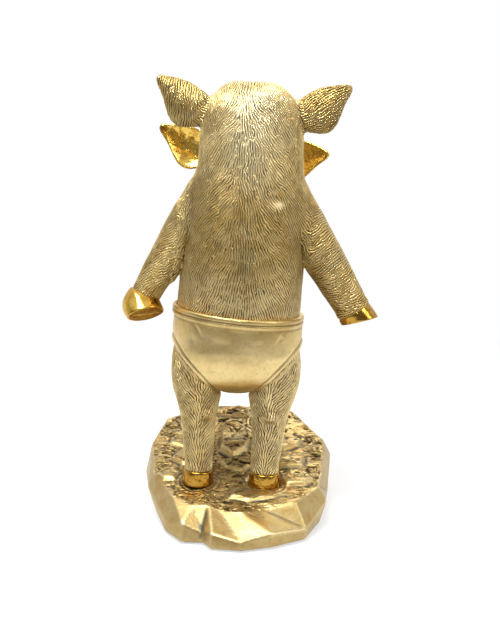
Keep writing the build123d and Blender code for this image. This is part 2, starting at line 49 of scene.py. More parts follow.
# Where each pig stands: seat on the rock, lean to the side, way it faces, size beside the tall one.
pigs = {
    "tall": {"seat": (-3.5, -21.0, 26.0), "lean": 2.6, "turn": 0.0, "share": 1.0, "voxel": 0.53},
    "small": {"seat": (-3.5, 57.6, 43.0), "lean": 2.6, "turn": 180.0, "share": 0.8, "voxel": 0.58},
}

# Heights and places on the tall pig, from its soles.
body = {
    "waist": 112.0,
    "neck": 201.5,
    "nose": (0.0, 47.0, 217.5),
    "openingSide": 92.5,
    "crotch": 63.5,
    "openingHalfWidth": 12.0,
    "hipHalfWidth": 39.0,
    "bandRise": 2.2,
    "bandTilt": 3.2,
    "bandHeight": 6.0,
}
limbs = ["left_arm", "right_arm", "left_ear", "right_ear"]
sides = ["left", "right"]


def say(*words):
    print("scene:", *words, flush=True)


# Numbers


def unit(vectors):
    return vectors / np.maximum(np.linalg.norm(vectors, axis=-1, keepdims=True), tiny)


def ease(low, high, values):
    # Smooth step from 0 to 1; it falls where the first limit is the higher one.
    share = np.clip((values - low) / (high - low), 0, 1)
    return share * share * (3 - 2 * share)


def bell(values, wide):
    return np.exp(-(values / wide) ** 2)


hashing = {"cells": (73856093, 19349663, 83492791), "seed": 7919, "stir": 1274126177, "top": 0xFFFF}


def lattice(cells, seed):
    # An even number from 0 to 1 for each whole cell.
    keys = cells.astype(np.int64) * np.array(hashing["cells"])
    mixed = (keys[..., 0] ^ keys[..., 1] ^ keys[..., 2]) + seed * hashing["seed"]
    mixed = (mixed ^ (mixed >> 13)) * hashing["stir"]
    return ((mixed ^ (mixed >> 16)) & hashing["top"]) / float(hashing["top"])


def noise(points, size, seed):
    # Smooth value noise from 0 to 1 with features of about the given size.
    scaled = points / size
    cells = np.floor(scaled)
    part = scaled - cells
    part = part * part * (3 - 2 * part)
    total = 0
    for corner in np.ndindex(2, 2, 2):
        weight = np.prod(np.where(np.array(corner) == 1, part, 1 - part), axis=-1)
        total = total + weight * lattice(cells + np.array(corner), seed)
    return total


def layers(points, size, seed, count):
    # Noise with finer noise on top of it.
    total = 0
    weight = 0
    for level in range(count):
        total = total + noise(points, size / 2 ** level, seed + level) / 2 ** level
        weight += 1 / 2 ** level
    return total / weight


# Meshes and volumes


def nodeMesh(name):
    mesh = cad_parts[name].data
    mesh.calc_loop_triangles()
    points = np.empty(len(mesh.vertices) * 3, np.float32)
    mesh.vertices.foreach_get("co", points)
    faces = np.empty(len(mesh.loop_triangles) * 3, np.int32)
    mesh.loop_triangles.foreach_get("vertices", faces)
    return points.reshape(-1, 3) * perMetre, faces.reshape(-1, 3)


class Place:
    # The upright frame of one pig: x to its side, y ahead, z up from its soles.
    def __init__(self, setting):
        lean, turn = math.radians(setting["lean"]), math.radians(setting["turn"])
        tilt = [[math.cos(lean), 0, math.sin(lean)], [0, 1, 0], [-math.sin(lean), 0, math.cos(lean)]]
        spin = [[math.cos(turn), -math.sin(turn), 0], [math.sin(turn), math.cos(turn), 0], [0, 0, 1]]
        self.matrix = np.array(tilt) @ np.array(spin)
        self.seat = np.array(setting["seat"])

    def inward(self, points):
        return ((points - self.seat) @ self.matrix).astype(np.float32)

    def outward(self, points):
        return points @ self.matrix.T + self.seat

    def mesh(self, *names):
        points, faces, count = [], [], 0
        for name in names:
            some, corners = nodeMesh(name)
            points.append(self.inward(some))
            faces.append(corners + count)
            count += len(some)
        return np.concatenate(points), np.concatenate(faces)


class World:
    # The shared frame itself, with the same calls as a pig's own frame.
    def inward(self, points):
        return points.astype(np.float32)

    def outward(self, points):
        return points

    mesh = Place.mesh


def centerOf(place, name):
    points, _ = place.mesh(name)
    return (points.min(0) + points.max(0)) / 2


class Volume:
    # A box of voxels in which forms are signed distances, negative inside.
    def __init__(self, points, voxel, margin):
        self.voxel = voxel
        self.low = np.floor((points.min(0) - margin) / voxel).astype(int)
        high = np.ceil((points.max(0) + margin) / voxel).astype(int)
        self.shape = tuple(int(n) for n in high - self.low + 1)
        self.corner = tuple(int(n) for n in self.low)

    def distance(self, points, faces, band):
        space = openvdb.createLinearTransform(self.voxel)
        grid = openvdb.FloatGrid.createLevelSetFromPolygons(
            np.ascontiguousarray(points, np.float32), triangles=np.ascontiguousarray(faces, np.uint32),
            transform=space, halfWidth=band / self.voxel)
        field = np.empty(self.shape, np.float32)
        grid.copyToArray(field, ijk=self.corner)
        return field

    def heights(self):
        return ((self.low[2] + np.arange(self.shape[2])) * self.voxel)[None, None, :]

    def level(self, height):
        return int(round(height / self.voxel)) - self.low[2]

    def sample(self, field, points):
        spots = points / self.voxel - self.low
        cells = np.clip(np.floor(spots).astype(int), 0, np.array(self.shape) - 2)
        part = np.clip(spots - cells, 0, 1)
        total = 0
        for corner in np.ndindex(2, 2, 2):
            weight = np.prod(np.where(np.array(corner) == 1, part, 1 - part), axis=-1)
            at = cells + np.array(corner)
            total = total + weight * field[at[:, 0], at[:, 1], at[:, 2]]
        return total

    def surface(self, field, band):
        grid = openvdb.FloatGrid(band)
        grid.copyFromArray(np.clip(field, -band, band), ijk=self.corner, tolerance=0)
        grid.transform = openvdb.createLinearTransform(self.voxel)
        points, quads = grid.convertToQuads(0.0)
        points = points.astype(np.float64)
        quads = quads.astype(np.int64)
        a, b, c = points[quads[:, 0]], points[quads[:, 1]], points[quads[:, 2]]
        if np.sum(np.cross(b - a, c - a) * a) < 0:
            quads = quads[:, ::-1]
        return points, quads


def filled(field, band):
    # Closes hollows that no straight line within a level reaches from outside.
    clear = field > 0
    seen = np.logical_and.accumulate(clear, axis=0) | np.logical_and.accumulate(clear, axis=1)
    seen |= np.logical_and.accumulate(clear[::-1], axis=0)[::-1]
    seen |= np.logical_and.accumulate(clear[:, ::-1], axis=1)[:, ::-1]
    return np.where(clear & ~seen, -band, field)


def blurred(field, reach, voxel, rounds):
    # Repeated box blur, close to a Gaussian of the given reach.
    wide = math.sqrt(12 * (reach / voxel) ** 2 / rounds + 1)
    half = max(1, round((wide - 1) / 2))
    for _ in range(rounds):
        for axis in range(3):
            line = np.moveaxis(field, axis, 0)
            line = np.concatenate([np.repeat(line[:1], half + 1, 0), line, np.repeat(line[-1:], half, 0)])
            sums = np.cumsum(line, axis=0)
            field = np.moveaxis((sums[2 * half + 1:] - sums[:-2 * half - 1]) / (2 * half + 1), 0, axis)
    return np.ascontiguousarray(field)


def joined(a, b, blend):
    # Union of two forms with a fillet of about the given size.
    share = np.clip(0.5 + 0.5 * (b - a) / blend, 0, 1)
    return b + (a - b) * share - blend * share * (1 - share)


def bridged(field, level, half):
    # Runs a form straight across a joint between two castings.
    low, high = field[:, :, level - half], field[:, :, level + half]
    for step in range(-half, half + 1):
        share = (step + half) / (2 * half)
        field[:, :, level + step] = low * (1 - share) + high * share


def vertexNormals(points, quads):
    across = np.cross(points[quads[:, 2]] - points[quads[:, 0]], points[quads[:, 3]] - points[quads[:, 1]])
    normals = np.zeros_like(points)
    for corner in range(4):
        np.add.at(normals, quads[:, corner], across)
    return unit(normals)


def edgesOf(quads):
    return np.concatenate([quads[:, [i, (i + 1) % 4]] for i in range(4)])


def relaxed(values, quads, rounds):
    # Each point's values drawn halfway to the mean of its neighbours, again and again.
    ends = edgesOf(quads)
    count = np.maximum(np.bincount(ends[:, 0], minlength=len(values)), 1)[:, None]
    for _ in range(rounds):
        columns = [np.bincount(ends[:, 0], column[ends[:, 1]], len(values)) for column in values.T]
        values = values + (np.stack(columns, axis=1) / count - values) / 2
    return values


def spreadValue(values, quads, rounds):
    return relaxed(values[:, None], quads, rounds)[:, 0]


def newSkin(points, quads):
    normals = vertexNormals(points, quads)
    return {"rest": points, "restNormals": normals, "points": points, "normals": normals, "quads": quads,
            "fields": {}}


def raised(skin, height):
    skin["points"] = skin["rest"] + skin["restNormals"] * height[:, None]
    skin["normals"] = vertexNormals(skin["points"], skin["quads"])


def castSkin(mesh, voxel, form, solid=False):
    # The rounded surface of one casting, with its hollows closed if it is to be solid.
    box = Volume(mesh[0], voxel, form["margin"])
    field = box.distance(*mesh, form["band"])
    if solid:
        field = filled(field, form["band"])
    field = np.clip(field, -form["limit"], form["limit"])
    return box.surface(blurred(field, form["blur"], voxel, form["rounds"]), form["outer"])


# Carved hair: lengths in millimetres, noises as size, seed and layers.
fur = {
    "period": 1.45,  # from stroke to stroke
    "along": 2.3,
    "across": 1.7,
    "bend": 0.03,
    "seeds": 0.06,  # share of the points that start a stroke
    "rounds": 1,
    "facing": 0.4,  # strokes stop where the surface turns away further than this cosine
    "reach": 1.3,
    "warp": 0.6,
    "warpNoise": (3.2, 17, 2),
    "contrast": 1.6,
    "depth": 0.42,
    "sink": 0.6,
    "gap": 0.4,
    "gapNoise": (2.4, 19),
    "gapEdge": (0.25, 0.6),
    "tuft": 0.5,
    "tuftNoise": (7, 13, 2),
}


class Cells:
    # Points sorted into cubes, for quick reach around a spot.
    def __init__(self, points, size):
        self.size = size
        self.low = points.min(0) - size
        keys = np.floor((points - self.low) / size).astype(np.int64)
        self.span = keys.max(0) + 3
        flat = self.flat(keys)
        self.order = np.argsort(flat, kind="stable")
        names, starts = np.unique(flat[self.order], return_index=True)
        stops = np.append(starts[1:], len(flat))
        self.lookup = {int(n): (s, e) for n, s, e in zip(names, starts, stops)}

    def flat(self, keys):
        return (keys[..., 0] * self.span[1] + keys[..., 1]) * self.span[2] + keys[..., 2]

    def near(self, spot):
        key = np.floor((spot - self.low) / self.size).astype(np.int64)
        found = []
        for step in np.ndindex(3, 3, 3):
            run = self.lookup.get(int(self.flat(key + np.array(step) - 1)))
            if run:
                found.append(self.order[run[0]:run[1]])
        return np.concatenate(found) if found else np.empty(0, int)


def combed(points, normals, flow, setting):
    # Strokes along the flow as a wave: its cosine and sine at each point, and a slow tint.
    picks = dice.permutation(len(points))[:int(len(points) * setting["seeds"])]
    spots, ways, faces = points[picks], flow[picks], normals[picks]
    asides = np.cross(faces, ways)
    rate = math.tau / setting["period"]
    along, across, facing = setting["along"], setting["across"], setting["facing"]
    cells = Cells(spots, along)
    own, other, weight, shift = [], [], [], []
    for index in range(len(picks)):
        near = cells.near(spots[index])
        gap = spots[index] - spots[near]
        run = np.einsum("ij,ij->i", gap, ways[near])
        off = np.einsum("ij,ij->i", gap, asides[near])
        strength = np.exp(-(run / along) ** 2 - (off / across) ** 2) * (faces[near] @ faces[index] > facing)
        own.append(np.full(len(near), index))
        other.append(near)
        weight.append(strength)
        shift.append(off * rate)
    own, other, weight, shift = (np.concatenate(part) for part in (own, other, weight, shift))
    phase = dice.uniform(0, math.tau, len(picks))
    for _ in range(setting["rounds"]):
        angle = phase[other] + shift
        phase = np.arctan2(np.bincount(own, weight * np.sin(angle), len(picks)),
                           np.bincount(own, weight * np.cos(angle), len(picks)))
    cells = Cells(points, along * setting["reach"])
    wave = np.zeros(len(points), complex)
    tint = np.zeros(len(points))
    total = np.full(len(points), faint)
    for index in range(len(picks)):
        near = cells.near(spots[index])
        gap = points[near] - spots[index]
        run = gap @ ways[index]
        off = gap @ asides[index] - dice.normal(0, setting["bend"]) * run * run
        strength = np.exp(-(run / along) ** 2 - (off / across) ** 2) * (normals[near] @ faces[index] > facing)
        wave[near] += strength * np.exp(1j * (phase[index] + off * rate))
        tint[near] += strength * dice.random()
        total[near] += strength
    wave = wave / np.maximum(np.abs(wave), faint)
    warp = (layers(points, *setting["warpNoise"]) - 0.5) * 2
    wave = wave * np.exp(1j * rate * setting["warp"] * warp)
    return wave, np.clip((tint / total - 0.5) * setting["contrast"] + 0.5, 0, 1), len(picks)


def furred(skin, flow, setting, amount):
    # Adds carved hair to a skin where the amount is above zero.
    points, normals = skin["rest"], skin["restNormals"]
    flow = flow - normals * np.sum(flow * normals, axis=1, keepdims=True)
    wave, tint, count = combed(points, normals, unit(flow), setting)
    kept = ease(*setting["gapEdge"], noise(points, *setting["gapNoise"]))
    amount = amount * (1 - setting["gap"] + setting["gap"] * kept)
    height = (np.sqrt(0.5 + 0.5 * wave.real) - setting["sink"]) * amount * setting["depth"]
    tufts = (layers(points, *setting["tuftNoise"]) - 0.5) * setting["tuft"]
    raised(skin, height + tufts * (amount > 0))
    skin["fields"].update(combX=wave.real, combY=wave.imag, comb=amount, tint=tint)
    return count


def turned(flow, normals, angles):
    aside = np.cross(normals, flow)
    return flow * np.cos(angles)[:, None] + aside * np.sin(angles)[:, None]


# Materials


class Sock:
    # A node's output with arithmetic that adds nodes.
    def __init__(self, paint, socket):
        self.paint = paint
        self.socket = socket

    def __add__(self, other):
        return self.paint.maths("ADD", self, other)

    def __radd__(self, other):
        return self.paint.maths("ADD", other, self)

    def __sub__(self, other):
        return self.paint.maths("SUBTRACT", self, other)

    def __rsub__(self, other):
        return self.paint.maths("SUBTRACT", other, self)

    def __mul__(self, other):
        return self.paint.maths("MULTIPLY", self, other)

    def __rmul__(self, other):
        return self.paint.maths("MULTIPLY", other, self)

    def __truediv__(self, other):
        return self.paint.maths("DIVIDE", self, other)

    def __pow__(self, other):
        return self.paint.maths("POWER", self, other)

    def __abs__(self):
        return self.paint.maths("ABSOLUTE", self)

    def larger(self, other):
        return self.paint.maths("MAXIMUM", self, other)

    def clamp(self):
        return self.paint.maths("ADD", self, 0.0, clamp=True)

    def ramp(self, low, high):
        settings = {"interpolation_type": "SMOOTHSTEP"}
        return self.paint.node("ShaderNodeMapRange", settings, {0: self, 1: low, 2: high})


class Paint:
    # One procedural material, or the nodes of a world.
    def __init__(self, name, world=None):
        self.material = world or bpy.data.materials.new(name)
        self.material.use_nodes = True
        self.tree = self.material.node_tree
        self.shader = self.tree.nodes["Background" if world else "Principled BSDF"]

    def node(self, kind, settings, sockets, output=0):
        made = self.tree.nodes.new(kind)
        for key, value in settings.items():
            setattr(made, key, value)
        for key, value in sockets.items():
            self.feed(made.inputs[key], value)
        return Sock(self, made.outputs[output])

    def feed(self, socket, value):
        if isinstance(value, Sock):
            self.tree.links.new(value.socket, socket)
        elif value is not None:
            socket.default_value = value

    def maths(self, operation, *values, clamp=False):
        settings = {"operation": operation, "use_clamp": clamp}
        return self.node("ShaderNodeMath", settings, dict(enumerate(values)))

    def attribute(self, name):
        return self.node("ShaderNodeAttribute", {"attribute_name": name}, {}, 2)

    def spots(self):
        return self.node("ShaderNodeTexCoord", {}, {}, "Object")

    def ray(self, kind):
        return self.node("ShaderNodeLightPath", {}, {}, f"Is {kind} Ray")

    def noise(self, size, detail=3.0, roughness=0.55, spots=None):
        # Features of about the given size in millimetres.
        sockets = {"Vector": spots or self.spots(), "Scale": perMetre / size}
        return self.node("ShaderNodeTexNoise", {}, {**sockets, "Detail": detail, "Roughness": roughness})

    def patches(self, size, detail, low, high, roughness=0.55):
        # Where noise lies above two limits, with a soft edge between them.
        return self.noise(size, detail, roughness).ramp(low, high)

    def mixed(self, share, a, b):
        return self.node("ShaderNodeMix", {"data_type": "RGBA"}, {0: share, 6: a, 7: b}, 2)

    def bump(self, height, depth):
        sockets = {"Height": height, "Strength": 1.0, "Distance": depth / perMetre}
        return self.node("ShaderNodeBump", {}, sockets)

    def done(self, **inputs):
        for key, value in inputs.items():
            self.feed(self.shader.inputs[key.replace("_", " ")], value)
        return self.material


def tone(red, green, blue):
    # Screen colour from 0 to 255 as a linear colour.
    line = [v / 255 for v in (red, green, blue)]
    return (*[v / 12.92 if v <= 0.04045 else ((v + 0.055) / 1.055) ** 2.4 for v in line], 1.0)


gold = {
    "pale": tone(238, 212, 148),
    "light": tone(228, 203, 144),
    "mid": tone(192, 160, 88),
    "amber": tone(172, 126, 56),
    "deep": tone(126, 92, 42),
    "patina": tone(48, 34, 16),
    "slate": tone(70, 76, 72),
    "smoke": tone(136, 128, 100),
    "bright": tone(224, 188, 92),
    "orange": tone(190, 144, 52),
    # Pale gold for worn edges and smoothed marks, and for painted highlights on the fur.
    "pale_wear_and_highlight": tone(246, 226, 178),
    "olive": tone(146, 118, 60),
    "stone": tone(184, 161, 108),
    "stoneShade": tone(164, 137, 78),
    "umber": tone(150, 98, 24),
}

# In the finishes a noise is size and detail, and patches add their two limits and sometimes a roughness.
# A colour's name beside a number is how much of that colour goes in.
furFinish = {
    "cloud": (22, 3.0, 0.42, 0.66), "smoke": 0.25,
    "warm": (9, 4.0, 0.5, 0.7), "amber": 0.4,
    "olive": 0.75, "pale_wear_and_highlight": 0.8,
    "cold": (13, 3.0, 0.42, 0.58),
    "cup": (7, 3.0, 0.48, 0.66), "umber": 0.6,
    "speck": (1.1, 2.0), "speckle": 0.3, "groove": (0.2, 0.7), "least": 0.0001,
    "metal": 0.92, "rough": 0.39, "grooveRough": 0.2, "speckRough": 0.12, "polish": 0.68,
    "depth": 0.34, "speckDepth": 0.15, "dent": (5, 2.0), "dentDepth": 2,
}


def furPaint():
    paint, look = Paint("carved_gold"), furFinish
    names = ("combX", "combY", "comb", "tint", "polish", "painted_shade", "rub_and_painted_highlight")
    cosine, sine, amount, tint, polish, painted_shade, rub_and_painted_highlight = (paint.attribute(name) for name in names)
    size = (cosine * cosine + sine * sine + look["least"]) ** 0.5
    crest = (cosine / size * 0.5 + 0.5).clamp() ** 0.5
    speck = paint.noise(*look["speck"])
    groove = (1 - (crest + (speck - 0.5) * look["speckle"]).ramp(*look["groove"])) * amount
    ridge = paint.mixed(tint, gold["mid"], gold["pale"])
    ridge = paint.mixed(paint.patches(*look["warm"]) * look["amber"], ridge, gold["amber"])
    ridge = paint.mixed(paint.patches(*look["cloud"]) * look["smoke"], ridge, gold["smoke"])
    # Painted shade turns the ridges olive; painted highlights and rubbed spots turn them pale.
    ridge = paint.mixed((painted_shade * look["olive"]).clamp(), ridge, gold["olive"])
    ridge = paint.mixed(rub_and_painted_highlight * look["pale_wear_and_highlight"], ridge, gold["pale_wear_and_highlight"])
    dark = paint.mixed(paint.patches(*look["cold"]), gold["patina"], gold["slate"])
    cup = paint.mixed(paint.patches(*look["cup"]) * look["umber"], gold["bright"], gold["umber"])
    colour = paint.mixed(polish, paint.mixed(groove, ridge, dark), cup)
    rough = look["rough"] + groove * look["grooveRough"] + (speck - 0.5) * look["speckRough"]
    rough = rough * (1 - polish * look["polish"])
    dents = paint.noise(*look["dent"]) * polish * look["dentDepth"]
    height = crest * amount + speck * look["speckDepth"] + dents
    return paint.done(Base_Color=colour, Metallic=look["metal"], Roughness=rough,
                      Normal=paint.bump(height, look["depth"]))


polishFinish = {
    "cloud": (9, 3.0, 0.35, 0.7),
    "fine": (2.4, 4.0), "tarnish": (0.56, 0.72), "clean": 0.25, "paintedReflectionTarnish": 0.65, "umber": 0.6,
    "metal": 1.0, "rough": 0.1, "fineRough": 0.1, "dent": (4.5, 2.0), "depth": 0.22,
}


def polishedPaint():
    paint, look = Paint("polished_gold"), polishFinish
    fine = paint.noise(*look["fine"])
    # Painted dark reflections: more tarnish and umber where the stain attribute is high.
    stain_and_painted_reflection = paint.attribute("stain_and_painted_reflection")
    tarnish = fine.ramp(*look["tarnish"]) * (look["clean"] + stain_and_painted_reflection * look["paintedReflectionTarnish"])
    colour = paint.mixed(paint.patches(*look["cloud"]), gold["bright"], gold["orange"])
    colour = paint.mixed(tarnish, colour, gold["patina"])
    colour = paint.mixed((stain_and_painted_reflection * look["umber"]).clamp(), colour, gold["umber"])
    rough = look["rough"] + fine * look["fineRough"]
    return paint.done(Base_Color=colour, Metallic=look["metal"], Roughness=rough,
                      Normal=paint.bump(paint.noise(*look["dent"]), look["depth"]))


satinFinish = {
    "cloud": (14, 5.0, 0.36, 0.66), "mid": 0.3, "paintedShadeMid": 0.5,
    "stain_and_painted_reflection": (5, 4.0, 0.55, 0.75), "deep": 0.15, "paintedShadeDeep": 0.25,
    "haze": (2.0, 5.0, 0.5, 0.72, 0.7), "smoke": 0.4,
    "fine": (1.6, 3.0),
    "metal": 0.92, "rough": 0.3, "fineRough": 0.14, "seamRough": 0.2, "depth": 0.06,
}


def satinPaint():
    paint, look = Paint("satin_gold"), satinFinish
    seam_and_painted_shade, painted_shade = paint.attribute("seam_and_painted_shade"), paint.attribute("painted_shade")
    cloud, stain_and_painted_reflection = paint.patches(*look["cloud"]), paint.patches(*look["stain_and_painted_reflection"])
    fine = paint.noise(*look["fine"])
    # Painted shade darkens the cloth near the band and at the bottom; the seam attribute adds dark seams and
    # painted shade under the band.
    colour = paint.mixed(cloud * look["mid"] + painted_shade * look["paintedShadeMid"], gold["light"], gold["mid"])
    colour = paint.mixed(stain_and_painted_reflection * look["deep"] + painted_shade * cloud * look["paintedShadeDeep"], colour, gold["deep"])
    colour = paint.mixed(paint.patches(*look["haze"]) * look["smoke"], colour, gold["smoke"])
    colour = paint.mixed(seam_and_painted_shade, colour, gold["patina"])
    rough = look["rough"] + fine * look["fineRough"] + seam_and_painted_shade * look["seamRough"]
    return paint.done(Base_Color=colour, Metallic=look["metal"], Roughness=rough,
                      Normal=paint.bump(fine + cloud, look["depth"]))


rockFinish = {
    "cloud": (16, 5.0, 0.36, 0.66), "shade": 0.5, "topShade": 0.4,
    "grain": (2.2, 5.0, 0.48, 0.7, 0.7), "smoke": 0.45,
    "warm": (11, 4.0, 0.5, 0.68), "amber": 0.45, "pale_wear_and_highlight": 0.6,
    "strata": (5, 4.0, 0.6), "strataStretch": (0.35, 1.5, 1.5),
    "line": (0.0, 0.045), "lineKept": (14, 3.0, 0.4, 0.56), "linePaintedShade": 0.9,
    "fine": (1.5, 3.0), "speckle": 0.25,
    "metal": 0.94, "rough": 0.34, "topRough": 0.08, "fineRough": 0.14, "pitRough": 0.2,
    "lump": (4, 3.0), "strataDepth": 4, "lineDepth": 2, "depth": 0.14,
}


def rockPaint():
    paint, look = Paint("rock_gold"), rockFinish
    top, painted_recess_shade, edge = (paint.attribute(name) for name in ("top", "painted_recess_shade", "edge"))
    fine = paint.noise(*look["fine"])
    stretched = paint.node("ShaderNodeVectorMath", {"operation": "MULTIPLY"},
                           {0: paint.spots(), 1: look["strataStretch"]})
    strata = paint.noise(*look["strata"], stretched)
    line = (1 - abs(strata - 0.5).ramp(*look["line"])) * top * paint.patches(*look["lineKept"])
    shade = (paint.patches(*look["cloud"]) * look["shade"] + top * look["topShade"]).clamp()
    colour = paint.mixed(shade, gold["stone"], gold["stoneShade"])
    colour = paint.mixed(paint.patches(*look["grain"]) * look["smoke"] * (1 - top), colour, gold["smoke"])
    colour = paint.mixed(paint.patches(*look["warm"]) * look["amber"], colour, gold["amber"])
    colour = paint.mixed(edge * look["pale_wear_and_highlight"], colour, gold["pale_wear_and_highlight"])
    dark = paint.mixed(top, gold["slate"], gold["patina"])
    # Pits, crevices, strata lines, steep faces and side hollows darken as painted shade.
    deep = (painted_recess_shade.larger(line * look["linePaintedShade"]) + (fine - 0.5) * look["speckle"]).clamp()
    rough = look["rough"] - top * look["topRough"] + fine * look["fineRough"] + painted_recess_shade * look["pitRough"]
    height = fine + paint.noise(*look["lump"]) + strata * top * look["strataDepth"] - line * look["lineDepth"]
    return paint.done(Base_Color=paint.mixed(deep, colour, dark), Metallic=look["metal"], Roughness=rough,
                      Normal=paint.bump(height, look["depth"]))


# Plain finishes: two screen colours mixed by a noise, and roughness as its least and how far it varies.
plainFinishes = {
    "eye": {"name": "eye_glaze", "grain": (2.5, 3.0), "tones": ((24, 18, 14), (58, 42, 26)),
            "metal": 0.2, "rough": (0.06, 0.06), "depth": None, "coat": 0.6},
    "steel": {"name": "steel", "grain": (0.8, 4.0), "tones": ((150, 152, 156), (196, 198, 200)),
              "metal": 1.0, "rough": (0.24, 0.2), "depth": None, "coat": 0.0},
    "board": {"name": "cover_board", "grain": (1.2, 5.0), "tones": ((120, 96, 66), (168, 140, 100)),
              "metal": 0.0, "rough": (0.7, 0.2), "depth": 0.08, "coat": 0.0},
    "felt": {"name": "felt", "grain": (0.7, 5.0), "tones": ((36, 30, 26), (74, 64, 54)),
             "metal": 0.0, "rough": (0.86, 0.12), "depth": 0.2, "coat": 0.0},
}


def plainPaint(look):
    paint = Paint(look["name"])
    grain = paint.noise(*look["grain"])
    least, more = look["rough"]
    dark, light = (tone(*some) for some in look["tones"])
    return paint.done(Base_Color=paint.mixed(grain, dark, light), Metallic=look["metal"],
                      Roughness=least + grain * more, Coat_Weight=look["coat"],
                      Normal=paint.bump(grain, look["depth"]) if look["depth"] else None)


paints = {"fur": furPaint(), "polished": polishedPaint(), "satin": satinPaint(), "rock": rockPaint()}
paints.update({key: plainPaint(look) for key, look in plainFinishes.items()})
say("materials", len(paints))


# Pieces

# The square that the surfaces are laid out in
charts = {"across": 3, "up": 2, "margin": 0.03, "corner": 0.999}


def chartUv(points, normals, faces):
    # Six flat charts, one for each way a face looks, side by side in one square.
    facing = normals[faces].sum(1)
    axis = np.argmax(np.abs(facing), axis=1)
    chart = axis * 2 + (np.take_along_axis(facing, axis[:, None], 1)[:, 0] > 0)
    low, high = points.min(0), points.max(0)
    pairs = np.array([[1, 2], [0, 2], [0, 1]])[axis]
    flat = np.take_along_axis(points[faces], pairs[:, None, :].repeat(faces.shape[1], 1), 2)
    flat = (flat - low[pairs][:, None, :]) / (high - low).max()
    offset = np.stack([chart % charts["across"], chart // charts["across"]], axis=-1)[:, None, :]
    inner = flat * (1 - 2 * charts["margin"]) + charts["margin"]
    return (inner + offset) / np.array([charts["across"], charts["up"]])


def makePiece(name, piece, slot, nodes, place):
    mesh = bpy.data.meshes.new(name)
    quads, fans = piece["quads"], piece["fans"]
    mesh.vertices.add(len(piece["points"]))
    mesh.vertices.foreach_set("co", (place.outward(piece["points"]) / perMetre).astype(np.float32).ravel())
    sizes = np.repeat([4, 3], [len(quads), len(fans)])
    mesh.loops.add(int(sizes.sum()))
    mesh.loops.foreach_set("vertex_index", np.concatenate([quads.ravel(), fans.ravel()]).astype(np.int32))
    mesh.polygons.add(len(sizes))
    mesh.polygons.foreach_set("loop_start", (np.cumsum(sizes) - sizes).astype(np.int32))
    mesh.update(calc_edges=True)
    mesh.polygons.foreach_set("use_smooth", np.ones(len(sizes), bool))
    for key, values in piece["fields"].items():
        mesh.attributes.new(key, "FLOAT", "POINT").data.foreach_set("value", values.astype(np.float32))
    mesh.uv_layers.new(name="OFBake").data.foreach_set("uv", piece["charts"].astype(np.float32).ravel())
    mesh.materials.append(paints[slot])
    ways = place.outward(piece["normals"]) - place.outward(piece["normals"] * 0)
    mesh.normals_split_custom_set_from_vertices(ways.tolist())
    obj = bpy.data.objects.new(name, mesh)
    bpy.context.collection.objects.link(obj)
    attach(obj, "root")
    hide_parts(*nodes)


def openEdges(quads):
    ends = edgesOf(quads)
    count = quads.max() + 1
    return ends[~np.isin(ends[:, 0] * count + ends[:, 1], ends[:, 1] * count + ends[:, 0])]


def loopSets(ends):
    # Open edges grouped into connected loops.
    parent = {}

    def root(n):
        while parent.setdefault(n, n) != n:
            parent[n] = parent[parent[n]]
            n = parent[n]
        return n

    for a, b in ends:
        parent[root(int(a))] = root(int(b))
    names = np.array([root(int(a)) for a in ends[:, 0]])
    return [np.nonzero(names == n)[0] for n in np.unique(names)]


def cutPiece(name, skin, slot, nodes, place, chosen=slice(None)):
    # A whole skin, or a piece of a larger one, closed where it was cut, with the whole skin's shading.
    used, quads = np.unique(skin["quads"][chosen], return_inverse=True)
    quads = quads.reshape(-1, 4)
    points, normals = skin["points"][used], skin["normals"][used]
    fields = {key: values[used] for key, values in skin["fields"].items()}
    places = chartUv(skin["rest"][used], skin["restNormals"][used], quads).reshape(-1, 2)
    rims = openEdges(quads)
    fans = np.empty((0, 3), int)
    if len(rims):
        loops = loopSets(rims)
        hub = np.empty(len(rims), int)
        for index, group in enumerate(loops):
            hub[group] = len(points) + index
        hubs = np.array([points[np.unique(rims[group])].mean(0) for group in loops])
        fans = np.stack([rims[:, 1], rims[:, 0], hub], axis=1)
        points = np.concatenate([points, hubs])
        normals = np.concatenate([normals, np.tile([0.0, 0.0, 1.0], (len(hubs), 1))])
        fields = {key: np.append(values, np.full(len(hubs), 0.5)) for key, values in fields.items()}
        places = np.concatenate([places, np.full((len(fans) * 3, 2), charts["corner"])])
    piece = {"points": points, "normals": normals, "quads": quads, "fans": fans, "fields": fields,
             "charts": places}
    makePiece(name, piece, slot, nodes, place)


# How the castings of a body run into one skin; each pair is where a change begins and where it is full.
bodyForm = {
    "margin": 6.0, "band": 6.0, "limit": 3.0, "outer": 3.0, "blur": 0.7, "rounds": 3,
    "bridge": 1.5, "waistRise": 1.0, "waistDrop": 2.5,
    "cuff": 0.5, "cuffReach": (4.5, 0.5),
    "armFold": 1.6, "foldHeights": (182, 150), "armFillet": 4.0,
    "earBlur": 0.5, "earRounds": 2, "earFillet": 2.5,
}

# The lie of the hair.
bodyLie = {
    "partNoise": (9, 23), "partShift": 9, "partReach": (0, 15), "behind": (0.5, -0.5),
    "aside": 0.45, "backAside": 0.35, "backHeights": (118, 150), "napeAside": 0.2, "napeHeights": (200, 225),
    "faceDepths": (-8, 22), "faceHeights": (185, 205), "crownHeights": (236, 250), "crownWay": (0, -1.2, 0.4),
    "earAside": 20.0, "earRise": 25, "blend": 2.5, "swirlNoise": (12, 3, 3), "swirl": 1.2,
}

